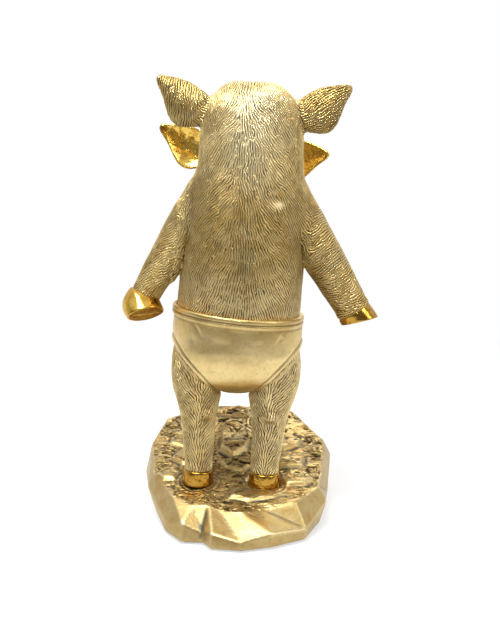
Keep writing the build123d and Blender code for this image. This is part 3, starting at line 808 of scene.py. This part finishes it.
# Where the finish is polished, where shade is painted, and where it is paler with painted highlight and rubbing.
bodyFinishAndPaintedLight = {
    "cupFacing": (0.15, 0.5), "cupSoft": 3,
    # Painted shade: the back, the right arm and the ears are painted darker than the head and the left arm.
    "painted_shade": {"trunk": 0.7, "left_arm": 0.05, "right_arm": 0.55, "left_ear": 0.6, "right_ear": 0.9},
    "paintedShadeTop": (206, 180), "paintedShadeLow": (80, 165), "paintedShadeSoft": 8,
    # Painted highlight on the nape and the back of the head; the hips are painted paler.
    "napeLow": (180, 218), "napeTop": (256, 238), "napeAcross": 2, "napeWide": 19, "napeFacing": (0.3, -0.2),
    "hips": 0.3, "hipHeights": (150, 125),
}

# Small marks on the back: across, height, half width, half height, rise, smoothness.
marks = {
    "tall": [
        (-25.0, 123.5, 3.4, 2.4, 1.0, 0.3),
        (-24.5, 119.6, 3.8, 1.1, -0.9, 0.0),
        (-29.0, 124.0, 1.1, 3.0, -0.7, 0.0),
        (-0.8, 221.5, 1.2, 1.0, -0.8, 0.2),
        (-0.8, 217.8, 1.0, 0.9, -0.7, 0.2),
        (20.9, 182.0, 4.2, 2.6, 0.3, 0.9),
    ],
    "small": [],
}
markFacing = (0.1, -0.2)


def bodyForms(who, place, box, share):
    # Distances of the trunk and of each limb, and of all of them run together.
    form, voxel, band = bodyForm, box.voxel, bodyForm["band"]

    def distance(part):
        return box.distance(*place.mesh(f"{who}_{part}"), band)

    trunk = filled(np.minimum(filled(distance("torso"), band), filled(distance("head"), band)), band)
    bridged(trunk, box.level(body["neck"] * share), int(round(form["bridge"] / voxel)))
    # The waist carries on straight down behind the band of the briefs.
    cut = box.level(body["waist"] * share + form["waistRise"])
    trunk[:, :, :cut] = trunk[:, :, cut:cut + 1]
    forms, whole = {"trunk": trunk}, trunk
    for part in limbs:
        limb = distance(part)
        if "arm" in part:
            # The hair runs a little over the top of the hoof.
            hoof = distance(part.replace("arm", "fore_hoof"))
            limb = limb - (form["cuff"] * ease(*form["cuffReach"], hoof)).astype(np.float32)
            fold = bell(trunk - limb, form["armFold"] * share)
            fold = fold * ease(*form["foldHeights"], box.heights() / share)
            whole = joined(whole, limb, form["armFillet"] * share)
            whole = whole + (form["armFold"] * share * fold).astype(np.float32)
        else:
            ear = blurred(limb, form["earBlur"], voxel, form["earRounds"])
            whole = joined(whole, ear, form["earFillet"] * share)
        forms[part] = limb
    whole = np.clip(whole, -form["limit"], form["limit"])
    return forms, blurred(whole, form["blur"] * share, voxel, form["rounds"])


def bodyFlow(who, place, points, normals, near, share):
    # Out from the nose over the face, down and outwards from the spine behind, along the limbs.
    lie, scaled = bodyLie, points / share
    heights = scaled[:, 2]
    across = scaled[:, 0] + (noise(scaled, *lie["partNoise"]) - 0.5) * lie["partShift"]
    lateral = np.sign(across) * ease(*lie["partReach"], np.abs(across)) * ease(*lie["behind"], normals[:, 1])
    lateral = lateral * (lie["aside"] + lie["backAside"] * ease(*lie["backHeights"], heights)
                         + lie["napeAside"] * ease(*lie["napeHeights"], heights))
    down = np.stack([lateral, np.zeros(len(points)), -np.ones(len(points))], 1)
    face = ease(*lie["faceDepths"], scaled[:, 1]) * ease(*lie["faceHeights"], heights)
    crown = ease(*lie["crownHeights"], heights) * (1 - face)
    flow = down * (1 - face)[:, None] + unit(scaled - np.array(body["nose"])) * face[:, None]
    flow = flow + np.array(lie["crownWay"]) * crown[:, None]
    for index, part in enumerate(limbs, start=1):
        if "arm" in part:
            hoof = centerOf(place, f"{who}_{part.replace('arm', 'fore_hoof')}")
            way = unit(hoof - centerOf(place, f"{who}_{part}"))
        else:
            ear, _ = place.mesh(f"{who}_{part}")
            aside = np.sign(ear[:, 0].mean()) * lie["earAside"]
            root = np.array([aside, 0, body["neck"] + lie["earRise"]]) * share
            way = unit(ear[np.argmax(np.linalg.norm(ear - root, axis=1))] - root)
        weight = ease(-lie["blend"], lie["blend"], near[:, 0] - near[:, index])
        flow = flow * (1 - weight)[:, None] + way * weight[:, None]
    flow = unit(flow - normals * np.sum(flow * normals, axis=1, keepdims=True))
    return turned(flow, normals, (layers(points, *lie["swirlNoise"]) - 0.5) * lie["swirl"])


def bodyFields(scaled, normals, quads, owner, calm):
    # Ear cups are polished instead of carved; the back, arms and ears take painted shade, the nape a painted
    # highlight, and the hips and smoothed marks are paler.
    finishAndPaintedLight, heights, trunk = bodyFinishAndPaintedLight, scaled[:, 2], owner == 0
    ear = owner >= 1 + limbs.index("left_ear")
    cup = spreadValue(ear * ease(*finishAndPaintedLight["cupFacing"], normals[:, 1]), quads, finishAndPaintedLight["cupSoft"])
    paintedShades = np.array([finishAndPaintedLight["painted_shade"][part] for part in ("trunk", *limbs)])[owner]
    paintedShades = paintedShades * np.where(trunk, ease(*finishAndPaintedLight["paintedShadeTop"], heights) * ease(*finishAndPaintedLight["paintedShadeLow"], heights), 1)
    # Painted highlight on the back of the nape and head.
    rub_and_painted_highlight = ease(*finishAndPaintedLight["napeLow"], heights) * ease(*finishAndPaintedLight["napeTop"], heights)
    rub_and_painted_highlight = rub_and_painted_highlight * bell(scaled[:, 0] - finishAndPaintedLight["napeAcross"], finishAndPaintedLight["napeWide"])
    rub_and_painted_highlight = rub_and_painted_highlight * ease(*finishAndPaintedLight["napeFacing"], normals[:, 1])
    rub_and_painted_highlight = np.maximum(rub_and_painted_highlight, finishAndPaintedLight["hips"] * ease(*finishAndPaintedLight["hipHeights"], heights)) * trunk
    return {"polish": cup, "painted_shade": spreadValue(paintedShades, quads, finishAndPaintedLight["paintedShadeSoft"]), "rub_and_painted_highlight": np.maximum(rub_and_painted_highlight, calm)}


def bodySkin(who):
    share, place = pigs[who]["share"], Place(pigs[who])
    every, _ = place.mesh(*[f"{who}_{part}" for part in ("torso", "head", *limbs)])
    box = Volume(every, pigs[who]["voxel"] * coarser, bodyForm["margin"])
    forms, whole = bodyForms(who, place, box, share)
    points, quads = box.surface(whole, bodyForm["outer"])
    low = body["waist"] * share - bodyForm["waistDrop"] * share
    used, quads = np.unique(quads[(points[quads][:, :, 2] > low).all(1)], return_inverse=True)
    quads = quads.reshape(-1, 4)
    points = relaxed(points[used], quads, 1)
    normals = vertexNormals(points, quads)
    scaled = points / share
    lift, calm = np.zeros(len(points)), np.zeros(len(points))
    for across, height, wide, tall, rise, smooth in marks[who]:
        spot = bell(scaled[:, 0] - across, wide) * bell(scaled[:, 2] - height, tall)
        spot = spot * ease(*markFacing, normals[:, 1])
        lift += rise * spot
        calm = np.maximum(calm, smooth * spot)
    near = np.stack([box.sample(form, points) for form in forms.values()], 1)
    owner = np.argmin(near, axis=1)
    skin = newSkin(points + normals * lift[:, None], quads)
    skin["fields"] = bodyFields(scaled, normals, quads, owner, calm)
    flow = bodyFlow(who, place, points, normals, near, share)
    hair = {**fur, "period": fur["period"] * share ** 0.5}
    count = furred(skin, flow, hair, (1 - skin["fields"]["polish"]) * (1 - calm))
    owned = (owner[quads][:, :, None] == np.arange(len(forms))).sum(1).argmax(1)
    upper = skin["rest"][quads][:, :, 2].mean(1) >= body["neck"] * share
    parts = {"torso": (owned == 0) & ~upper, "head": (owned == 0) & upper}
    parts.update({part: owned == index for index, part in enumerate(limbs, start=1)})
    for part, chosen in parts.items():
        cutPiece(f"{who}_{part}_skin", skin, "fur", [f"{who}_{part}"], place, chosen)
    say(who, "skin", len(points), "points", count, "strokes")


legForm = {
    "margin": 5.0, "band": 4.0, "limit": 3.0, "outer": 3.0, "blur": 0.45, "rounds": 2,
    "hair": {"period": 1.6, "along": 1.9, "across": 1.8, "depth": 0.6, "tuft": 0.35},
    "halfWidth": 10, "inward": 1.5, "inwardHeights": (95, 60), "behind": (0.4, -0.4),
    "swirlNoise": (12, 5, 2), "swirl": 0.9, "painted_shade": 0.1, "foldPaintedShade": 0.8,
}

# The knob at the back of each leg, and the fold under it; the knob gets a painted highlight, the fold painted
# shade, and each leg is painted paler, the right one more.
hock = {
    "height": 48.5, "aside": {"left": 4.0, "right": 1.5}, "wide": 4.0, "tall": 3.0,
    "rise": {"left": 2.6, "right": 3.8}, "foldDrop": 5.0, "foldTall": 1.6, "fold": 1.6, "facing": (0.1, -0.5),
    "rub_and_painted_highlight": {"left": 0.1, "right": 0.9}, "finishAndPaintedLight": {"left": 0.2, "right": 0.4},
}


def legSkin(who):
    share, place = pigs[who]["share"], Place(pigs[who])
    for side in sides:
        node = f"{who}_{side}_leg"
        points, quads = castSkin(place.mesh(node), pigs[who]["voxel"] * coarser, legForm, solid=True)
        points = relaxed(points, quads, 1)
        normals = vertexNormals(points, quads)
        middle = centerOf(place, f"{who}_{side}_hind_hoof")[0]
        spot = points / share - np.array([middle / share + hock["aside"][side], 0, hock["height"]])
        knob = bell(spot[:, 0], hock["wide"]) * bell(spot[:, 2], hock["tall"])
        fold = bell(spot[:, 0], hock["wide"]) * bell(spot[:, 2] + hock["foldDrop"], hock["foldTall"])
        bulge = knob * hock["rise"][side] - fold * hock["fold"]
        bulge = bulge * ease(*hock["facing"], normals[:, 1]) * share
        skin = newSkin(points + normals * bulge[:, None], quads)
        normals = skin["restNormals"]
        behind = ease(*legForm["behind"], normals[:, 1])
        inward = np.clip((middle - points[:, 0]) / (legForm["halfWidth"] * share) * legForm["inward"], -1, 1)
        inward = inward * behind * ease(*legForm["inwardHeights"], points[:, 2] / share)
        flow = unit(np.stack([inward, np.zeros(len(points)), -np.ones(len(points))], 1))
        flow = turned(flow, normals, (layers(points, *legForm["swirlNoise"]) - 0.5) * legForm["swirl"])
        hair = {**fur, **legForm["hair"], "period": legForm["hair"]["period"] * share ** 0.5}
        furred(skin, flow, hair, np.ones(len(points)))
        skin["fields"]["polish"] = np.zeros(len(points))
        # Painted shade in the fold under the knob and lightly over the whole leg; painted highlight on the knob
        # and over the leg.
        skin["fields"]["painted_shade"] = fold * legForm["foldPaintedShade"] + legForm["painted_shade"]
        skin["fields"]["rub_and_painted_highlight"] = np.maximum(knob * behind * hock["rub_and_painted_highlight"][side], hock["finishAndPaintedLight"][side])
        cutPiece(f"{node}_skin", skin, "fur", [node], place)
    say(who, "legs")


# Drops are measured down from the top of the band.
briefs = {
    "margin": 5.0, "band": 4.0, "limit": 3.0, "outer": 3.0, "blur": 0.5, "rounds": 2, "voxelShare": 1.15,
    "outerFacing": (0.2, 0.6), "sideShare": 0.8, "bandGap": 1,
    "bandSeam": 3.4, "hemSeam": 2.6, "hemSeamShare": 0.8, "seamWide": 0.5, "seamDepth": 0.45,
    "welt": 0.5, "weltPlace": 1.2, "weltWide": 1.0,
    "wrinkleStretch": (1, 1, 1.6), "wrinkleNoise": (13, 8, 2), "wrinkle": 0.9, "wrinkleDrops": (6, 12),
    "creases": ((-25.0, 0.5), (27.0, -0.4)),  # across and lean
    "creaseStart": 9, "creaseWide": 1.3, "creaseDepth": 0.7, "creaseDrops": (17, 8),
    # Painted shade: darker just under the band, near the band and towards the bottom.
    "seamDark": 0.8, "underWide": 0.8, "underPaintedShade": 0.5,
    "painted_shade": 0.7, "paintedShadeDrops": (20, 6), "paintedShadeHeights": (80, 64),
}


def briefsSkin(who):
    share, place, node = pigs[who]["share"], Place(pigs[who]), f"{who}_briefs"
    points, quads = castSkin(place.mesh(node), pigs[who]["voxel"] * briefs["voxelShare"] * coarser, briefs)
    skin = newSkin(relaxed(points, quads, 1), quads)
    normals = skin["restNormals"]
    scaled = skin["rest"] / share
    tilt = math.tan(math.radians(body["bandTilt"]))
    drop = body["waist"] + body["bandRise"] - tilt * scaled[:, 0] - scaled[:, 2]
    rise = body["openingSide"] - body["crotch"]
    run = body["hipHalfWidth"] - body["openingHalfWidth"]
    aside = np.abs(scaled[:, 0]) - body["openingHalfWidth"]
    hem = (aside * -rise + (scaled[:, 2] - body["crotch"]) * run) / math.hypot(rise, run)
    outer = np.abs(normals[:, 1]) + np.abs(normals[:, 0]) * briefs["sideShare"]
    outer = ease(*briefs["outerFacing"], outer)
    low = body["bandHeight"] + briefs["bandGap"]
    hemSeam = briefs["hemSeamShare"] * bell(hem - briefs["hemSeam"], briefs["seamWide"]) * (drop > low)
    groove = bell(drop - briefs["bandSeam"], briefs["seamWide"]) + hemSeam
    welt = briefs["welt"] * bell(hem - briefs["weltPlace"], briefs["weltWide"]) * (drop > low)
    stretched = scaled * np.array(briefs["wrinkleStretch"])
    folds = (layers(stretched, *briefs["wrinkleNoise"]) - 0.5) * briefs["wrinkle"]
    for across, lean in briefs["creases"]:
        crease = bell(scaled[:, 0] - across - (drop - briefs["creaseStart"]) * lean, briefs["creaseWide"])
        crease = crease * ease(*briefs["creaseDrops"], drop) * (normals[:, 1] < 0)
        folds = folds - briefs["creaseDepth"] * crease
    folds = folds * ease(*briefs["wrinkleDrops"], drop)
    raised(skin, (welt - groove * briefs["seamDepth"] + folds) * outer)
    # The seams are dark joints; the colour just under the band is painted shade.
    shadeUnderBand = bell(drop - low, briefs["underWide"])
    skin["fields"]["seam_and_painted_shade"] = np.clip(groove * briefs["seamDark"] + shadeUnderBand * briefs["underPaintedShade"], 0, 1) * outer
    # Painted shade: darker near the band and towards the bottom of the briefs.
    painted_shade = ease(*briefs["paintedShadeDrops"], drop) * briefs["painted_shade"] + ease(*briefs["paintedShadeHeights"], scaled[:, 2])
    skin["fields"]["painted_shade"] = np.clip(painted_shade, 0, 1)
    cutPiece(f"{node}_cloth", skin, "satin", [node], place)
    say(who, "briefs", len(points))


hoofForm = {
    "voxel": 0.4, "margin": 4.0, "band": 3.0, "limit": 2.0, "outer": 2.0, "blur": 0.3, "rounds": 1,
    "dentNoise": (5, 21, 2), "slitWide": 0.45, "slitEndShares": (0.85, 0.7), "slitReach": (1.2, 0.4),
    "slitDepth": 0.5,
}
# Stain on the polished parts is painted dark reflection, most on the hind hooves and the right fore hoof.
polishedParts = {
    "left_fore_hoof": {"stain_and_painted_reflection": 0.05, "dents": 0.12},
    "left_hind_hoof": {"stain_and_painted_reflection": 1.0, "dents": 0.4},
    "right_fore_hoof": {"stain_and_painted_reflection": 0.9, "dents": 0.12},
    "right_hind_hoof": {"stain_and_painted_reflection": 1.0, "dents": 0.4},
    "nose": {"stain_and_painted_reflection": 0.05, "dents": 0.12},
}


def soleOf(points, faces):
    # Middle, facing, long way and half length of a hoof's flat sole, its largest flat face.
    corners = points[faces].astype(np.float64)
    across = np.cross(corners[:, 1] - corners[:, 0], corners[:, 2] - corners[:, 0])
    names, group = np.unique(np.round(unit(across), 2), axis=0, return_inverse=True)
    area = np.bincount(group.ravel(), np.linalg.norm(across, axis=1))
    flat = corners[group.ravel() == np.argmax(area)].reshape(-1, 3)
    middle = (flat.min(0) + flat.max(0)) / 2
    toe = np.linalg.svd(flat - flat.mean(0), full_matrices=False)[2][0]
    return middle, unit(names[np.argmax(area)]), toe, np.abs((flat - middle) @ toe).max()


def soleSlit(points, middle, facing, toe, reach):
    gap = points - middle
    ends = [reach * share for share in hoofForm["slitEndShares"]]
    slit = bell(gap @ np.cross(facing, toe), hoofForm["slitWide"]) * ease(*ends, np.abs(gap @ toe))
    return slit * ease(*hoofForm["slitReach"], np.abs(gap @ facing))


def hullOf(points):
    # The tight skin round a form, which gives a hoof its straight walls.
    form = bmesh.new()
    for point in np.unique(np.round(points, 3), axis=0):
        form.verts.new(point)
    bmesh.ops.convex_hull(form, input=form.verts)
    bmesh.ops.triangulate(form, faces=form.faces)
    form.verts.index_update()
    points = np.array([v.co for v in form.verts], np.float32)
    faces = np.array([[v.index for v in face.verts] for face in form.faces])
    form.free()
    return points, faces


def polishedPieces(who):
    place = Place(pigs[who])
    for part, finish in polishedParts.items():
        node = f"{who}_{part}"
        mesh = place.mesh(node)
        sole = soleOf(*mesh) if "fore" in part else None
        mesh = hullOf(mesh[0]) if sole else mesh
        points, quads = castSkin(mesh, hoofForm["voxel"] * coarser, hoofForm)
        skin = newSkin(relaxed(points, quads, 1), quads)
        slit = soleSlit(skin["rest"], *sole) if sole else np.zeros(len(points))
        dents = (layers(points, *hoofForm["dentNoise"]) - 0.5) * finish["dents"]
        raised(skin, dents - hoofForm["slitDepth"] * slit)
        # Painted dark reflection, plus the dark patina of the slit in each sole.
        skin["fields"]["stain_and_painted_reflection"] = finish["stain_and_painted_reflection"] + slit
        cutPiece(f"{node}_cast", skin, "polished", [node], place)
    say(who, "hooves and nose")


rock = {
    "voxel": 0.8, "margin": 5.0, "band": 5.0, "limit": 4.0, "outer": 3.0, "blur": 0.5, "rounds": 1,
    "footRises": (1.5, 5), "topFacing": (0.87, 0.96), "topSoft": 6,
    "plateStretch": (0.45, 1.3, 1.3), "plateNoise": (14, 31, 3), "plates": 18,
    "plateEdge": (0.6, 0.95), "plateRise": 3.4,
    "creviceStart": (0.62, 0.72), "creviceEnd": (0.98, 0.8), "creviceNoise": (9, 53),
    "creviceKept": (0.4, 0.62),
    "pitNoise": (3.0, 51), "pitEdge": (0.66, 0.74), "pittedNoise": (16, 52),
    "pittedEdge": (0.45, 0.6), "pitDepth": 0.8,
    "gritNoise": (4, 71, 2), "grit": 0.7, "sideNoise": (12, 61, 2), "side": 0.5,
    "rippleReach": (10, 19), "rippleRate": 2.1, "ripple": 0.35,
    "bendRounds": 8, "hollow": (0.015, 0.14), "edge": (-0.05, -0.3), "slope": (0.05, 0.3),
    "pitPaintedShade": 0.7, "slopePaintedShade": 0.6, "hollowPaintedShade": 0.9,
}


def rockPiece():
    place = World()
    points, quads = castSkin(place.mesh("rock_base"), rock["voxel"] * coarser, rock)
    skin = newSkin(points, quads)
    normals = skin["restNormals"]
    foot = [points[:, 2].min() + rise for rise in rock["footRises"]]
    outer = ease(*foot, points[:, 2])
    top = spreadValue(ease(*rock["topFacing"], normals[:, 2]) * outer, quads, rock["topSoft"])
    level = layers(points * np.array(rock["plateStretch"]), *rock["plateNoise"]) * rock["plates"]
    steps = (np.floor(level) + ease(*rock["plateEdge"], level % 1)) / rock["plates"]
    crevice = ease(*rock["creviceStart"], level % 1) * ease(*rock["creviceEnd"], level % 1)
    crevice = crevice * ease(*rock["creviceKept"], noise(points, *rock["creviceNoise"]))
    pits = ease(*rock["pitEdge"], noise(points, *rock["pitNoise"]))
    pits = pits * ease(*rock["pittedEdge"], noise(points, *rock["pittedNoise"]))
    grit = (layers(points, *rock["gritNoise"]) - 0.5) * rock["grit"]
    rough = (steps - 0.5) * rock["plateRise"] - pits * rock["pitDepth"] - crevice + grit
    for who in pigs:
        for side in sides:
            hoof = centerOf(place, f"{who}_{side}_hind_hoof")
            away = np.linalg.norm(points[:, :2] - hoof[:2], axis=1)
            calm = ease(*rock["rippleReach"], away)
            rough = rough * calm + np.sin(away * rock["rippleRate"]) * rock["ripple"] * (1 - calm)
    flank = (layers(points, *rock["sideNoise"]) - 0.5) * rock["side"]
    raised(skin, rough * top + flank * outer * (1 - top))
    slope = 1 - np.clip(np.sum(skin["normals"] * normals, 1), 0, 1)
    smooth = relaxed(skin["points"], quads, rock["bendRounds"])
    bend = np.sum((smooth - skin["points"]) * skin["normals"], 1)
    # Painted shade: pits, crevices, steep step faces and the hollows of the sides are darkened.
    painted_recess_shade = pits * rock["pitPaintedShade"] + crevice + ease(*rock["slope"], slope) * rock["slopePaintedShade"]
    hollow = ease(*rock["hollow"], bend) * outer * rock["hollowPaintedShade"]
    skin["fields"]["top"] = top
    skin["fields"]["edge"] = ease(*rock["edge"], bend) * outer * (1 - top)
    skin["fields"]["painted_recess_shade"] = np.maximum(np.clip(painted_recess_shade, 0, 1) * top, hollow)
    cutPiece("rock_base_cast", skin, "rock", ["rock_base"], place)
    say("rock", len(points))


for who in pigs:
    bodySkin(who)
    legSkin(who)
    briefsSkin(who)
    polishedPieces(who)
rockPiece()

carried = {"base_cover": "board", "felt_sheet": "felt"}
for who in pigs:
    carried[f"{who}_eyes"] = "eye"
    carried[f"{who}_leg_rods"] = "steel"
for node, paint in carried.items():
    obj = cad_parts[node]
    obj.data.materials.clear()
    obj.data.materials.append(paints[paint])
say("carried over", len(carried))
meshes = {obj.name: obj.data for obj in bpy.data.objects if obj.type == "MESH"}
counts = {name: len(mesh.loops) - 2 * len(mesh.polygons) for name, mesh in meshes.items()}
say("triangles", sum(counts.values()), "most", max(counts.values()), max(counts, key=counts.get))


# The stage, in metres
stage = {
    "half": 0.7, "grain": 400, "tones": ((246,) * 3, (250,) * 3), "rough": 0.9, "glow": 0.6, "fade": (0.22, 0.6),
}


def stagePaint():
    # White where it is seen, fading out into the white around it, and still shaded by the object.
    paint = Paint("stage_white")
    low, high = (tone(*some) for some in stage["tones"])
    paint.done(Base_Color=paint.mixed(paint.noise(stage["grain"]), low, high), Roughness=stage["rough"])
    away = paint.node("ShaderNodeVectorMath", {"operation": "LENGTH"}, {0: paint.spots()}, 1)
    seen = paint.ray("Camera").larger(paint.ray("Glossy")).larger(paint.ray("Transmission"))
    glow = paint.node("ShaderNodeEmission", {}, {})
    plain = Sock(paint, paint.shader.outputs[0])
    lit = paint.node("ShaderNodeMixShader", {}, {0: seen * stage["glow"], 1: plain, 2: glow})
    clear = paint.node("ShaderNodeBsdfTransparent", {}, {})
    faded = paint.node("ShaderNodeMixShader", {}, {0: away.ramp(*stage["fade"]), 1: lit, 2: clear})
    paint.feed(paint.tree.nodes["Material Output"].inputs[0], faded)
    return paint.material


def makeStage():
    mesh = bpy.data.meshes.new("floor")
    half = stage["half"]
    corners = [(-half, -half, 0), (half, -half, 0), (half, half, 0), (-half, half, 0)]
    mesh.from_pydata(corners, [], [(0, 1, 2, 3)])
    mesh.materials.append(stagePaint())
    floor = bpy.data.objects.new("floor", mesh)
    bpy.context.collection.objects.link(floor)


lamps = {
    "key": {"spot": (-0.35, -0.65, 1.6), "aim": (0, 0, 0.15), "size": (1.0, 0.7), "power": 36, "spread": 180},
    "fill": {"spot": (1.1, -0.6, 0.7), "aim": (0, 0, 0.15), "size": (0.5, 0.9), "power": 6, "spread": 180},
    "head": {"spot": (-0.04, -1.1, 0.85), "aim": (0.008, 0, 0.27), "size": (0.14, 0.14), "power": 0.07,
             "spread": 12},
    "rear": {"spot": (0.3, 1.1, 1.3), "aim": (0, 0, 0.15), "size": (0.9, 0.6), "power": 8, "spread": 180},
}


def makeLight(name, spot, aim, size, power, spread):
    lamp = bpy.data.lights.new(name, "AREA")
    lamp.shape = "RECTANGLE"
    lamp.size, lamp.size_y = size
    lamp.energy = power
    lamp.spread = math.radians(spread)
    obj = bpy.data.objects.new(name, lamp)
    obj.location = spot
    obj.rotation_euler = (Vector(aim) - Vector(spot)).to_track_quat("-Z", "Y").to_euler()
    bpy.context.collection.objects.link(obj)


sky = {"ahead": (-0.45, 0.35), "above": (0.3, 0.85), "bright": 0.78, "dim": 0.22, "soft": 0.5}


def makeWorld():
    # White to the eye; in the metal it is white behind the object and dimmer on the camera's side.
    world = bpy.data.worlds.new("studio")
    bpy.context.scene.world = world
    paint = Paint("studio", world)
    seen = paint.ray("Camera").larger(paint.ray("Transmission"))
    glossy = paint.ray("Glossy")
    way = paint.node("ShaderNodeTexCoord", {}, {}, "Generated")
    ahead, above = (paint.node("ShaderNodeSeparateXYZ", {}, {0: way}, axis) for axis in "YZ")
    mirror = ahead.ramp(*sky["ahead"]).larger(above.ramp(*sky["above"])) * sky["bright"] + sky["dim"]
    level = (glossy * mirror + (1 - glossy) * sky["soft"]).larger(seen)
    paint.done(Color=(1, 1, 1, 1), Strength=level)


camera = {
    "spot": (8.7, -835.0, 295.5), "pitch": 11.0, "focalPixels": 1338.0, "imageHeight": 625.0,
    "sensor": 36.0, "reach": 50,
}


def makeCamera():
    data = bpy.data.cameras.new("photo")
    data.sensor_width = camera["sensor"]
    data.lens = camera["focalPixels"] / camera["imageHeight"] * camera["sensor"]
    data.clip_end = camera["reach"]
    obj = bpy.data.objects.new("photo", data)
    obj.location = Vector(camera["spot"]) / perMetre
    obj.rotation_euler = (math.radians(90 - camera["pitch"]), 0, 0)
    bpy.context.collection.objects.link(obj)
    bpy.context.scene.camera = obj


makeStage()
makeWorld()
for name, lamp in lamps.items():
    makeLight(name, **lamp)
makeCamera()
bpy.context.scene.view_settings.view_transform = "Standard"
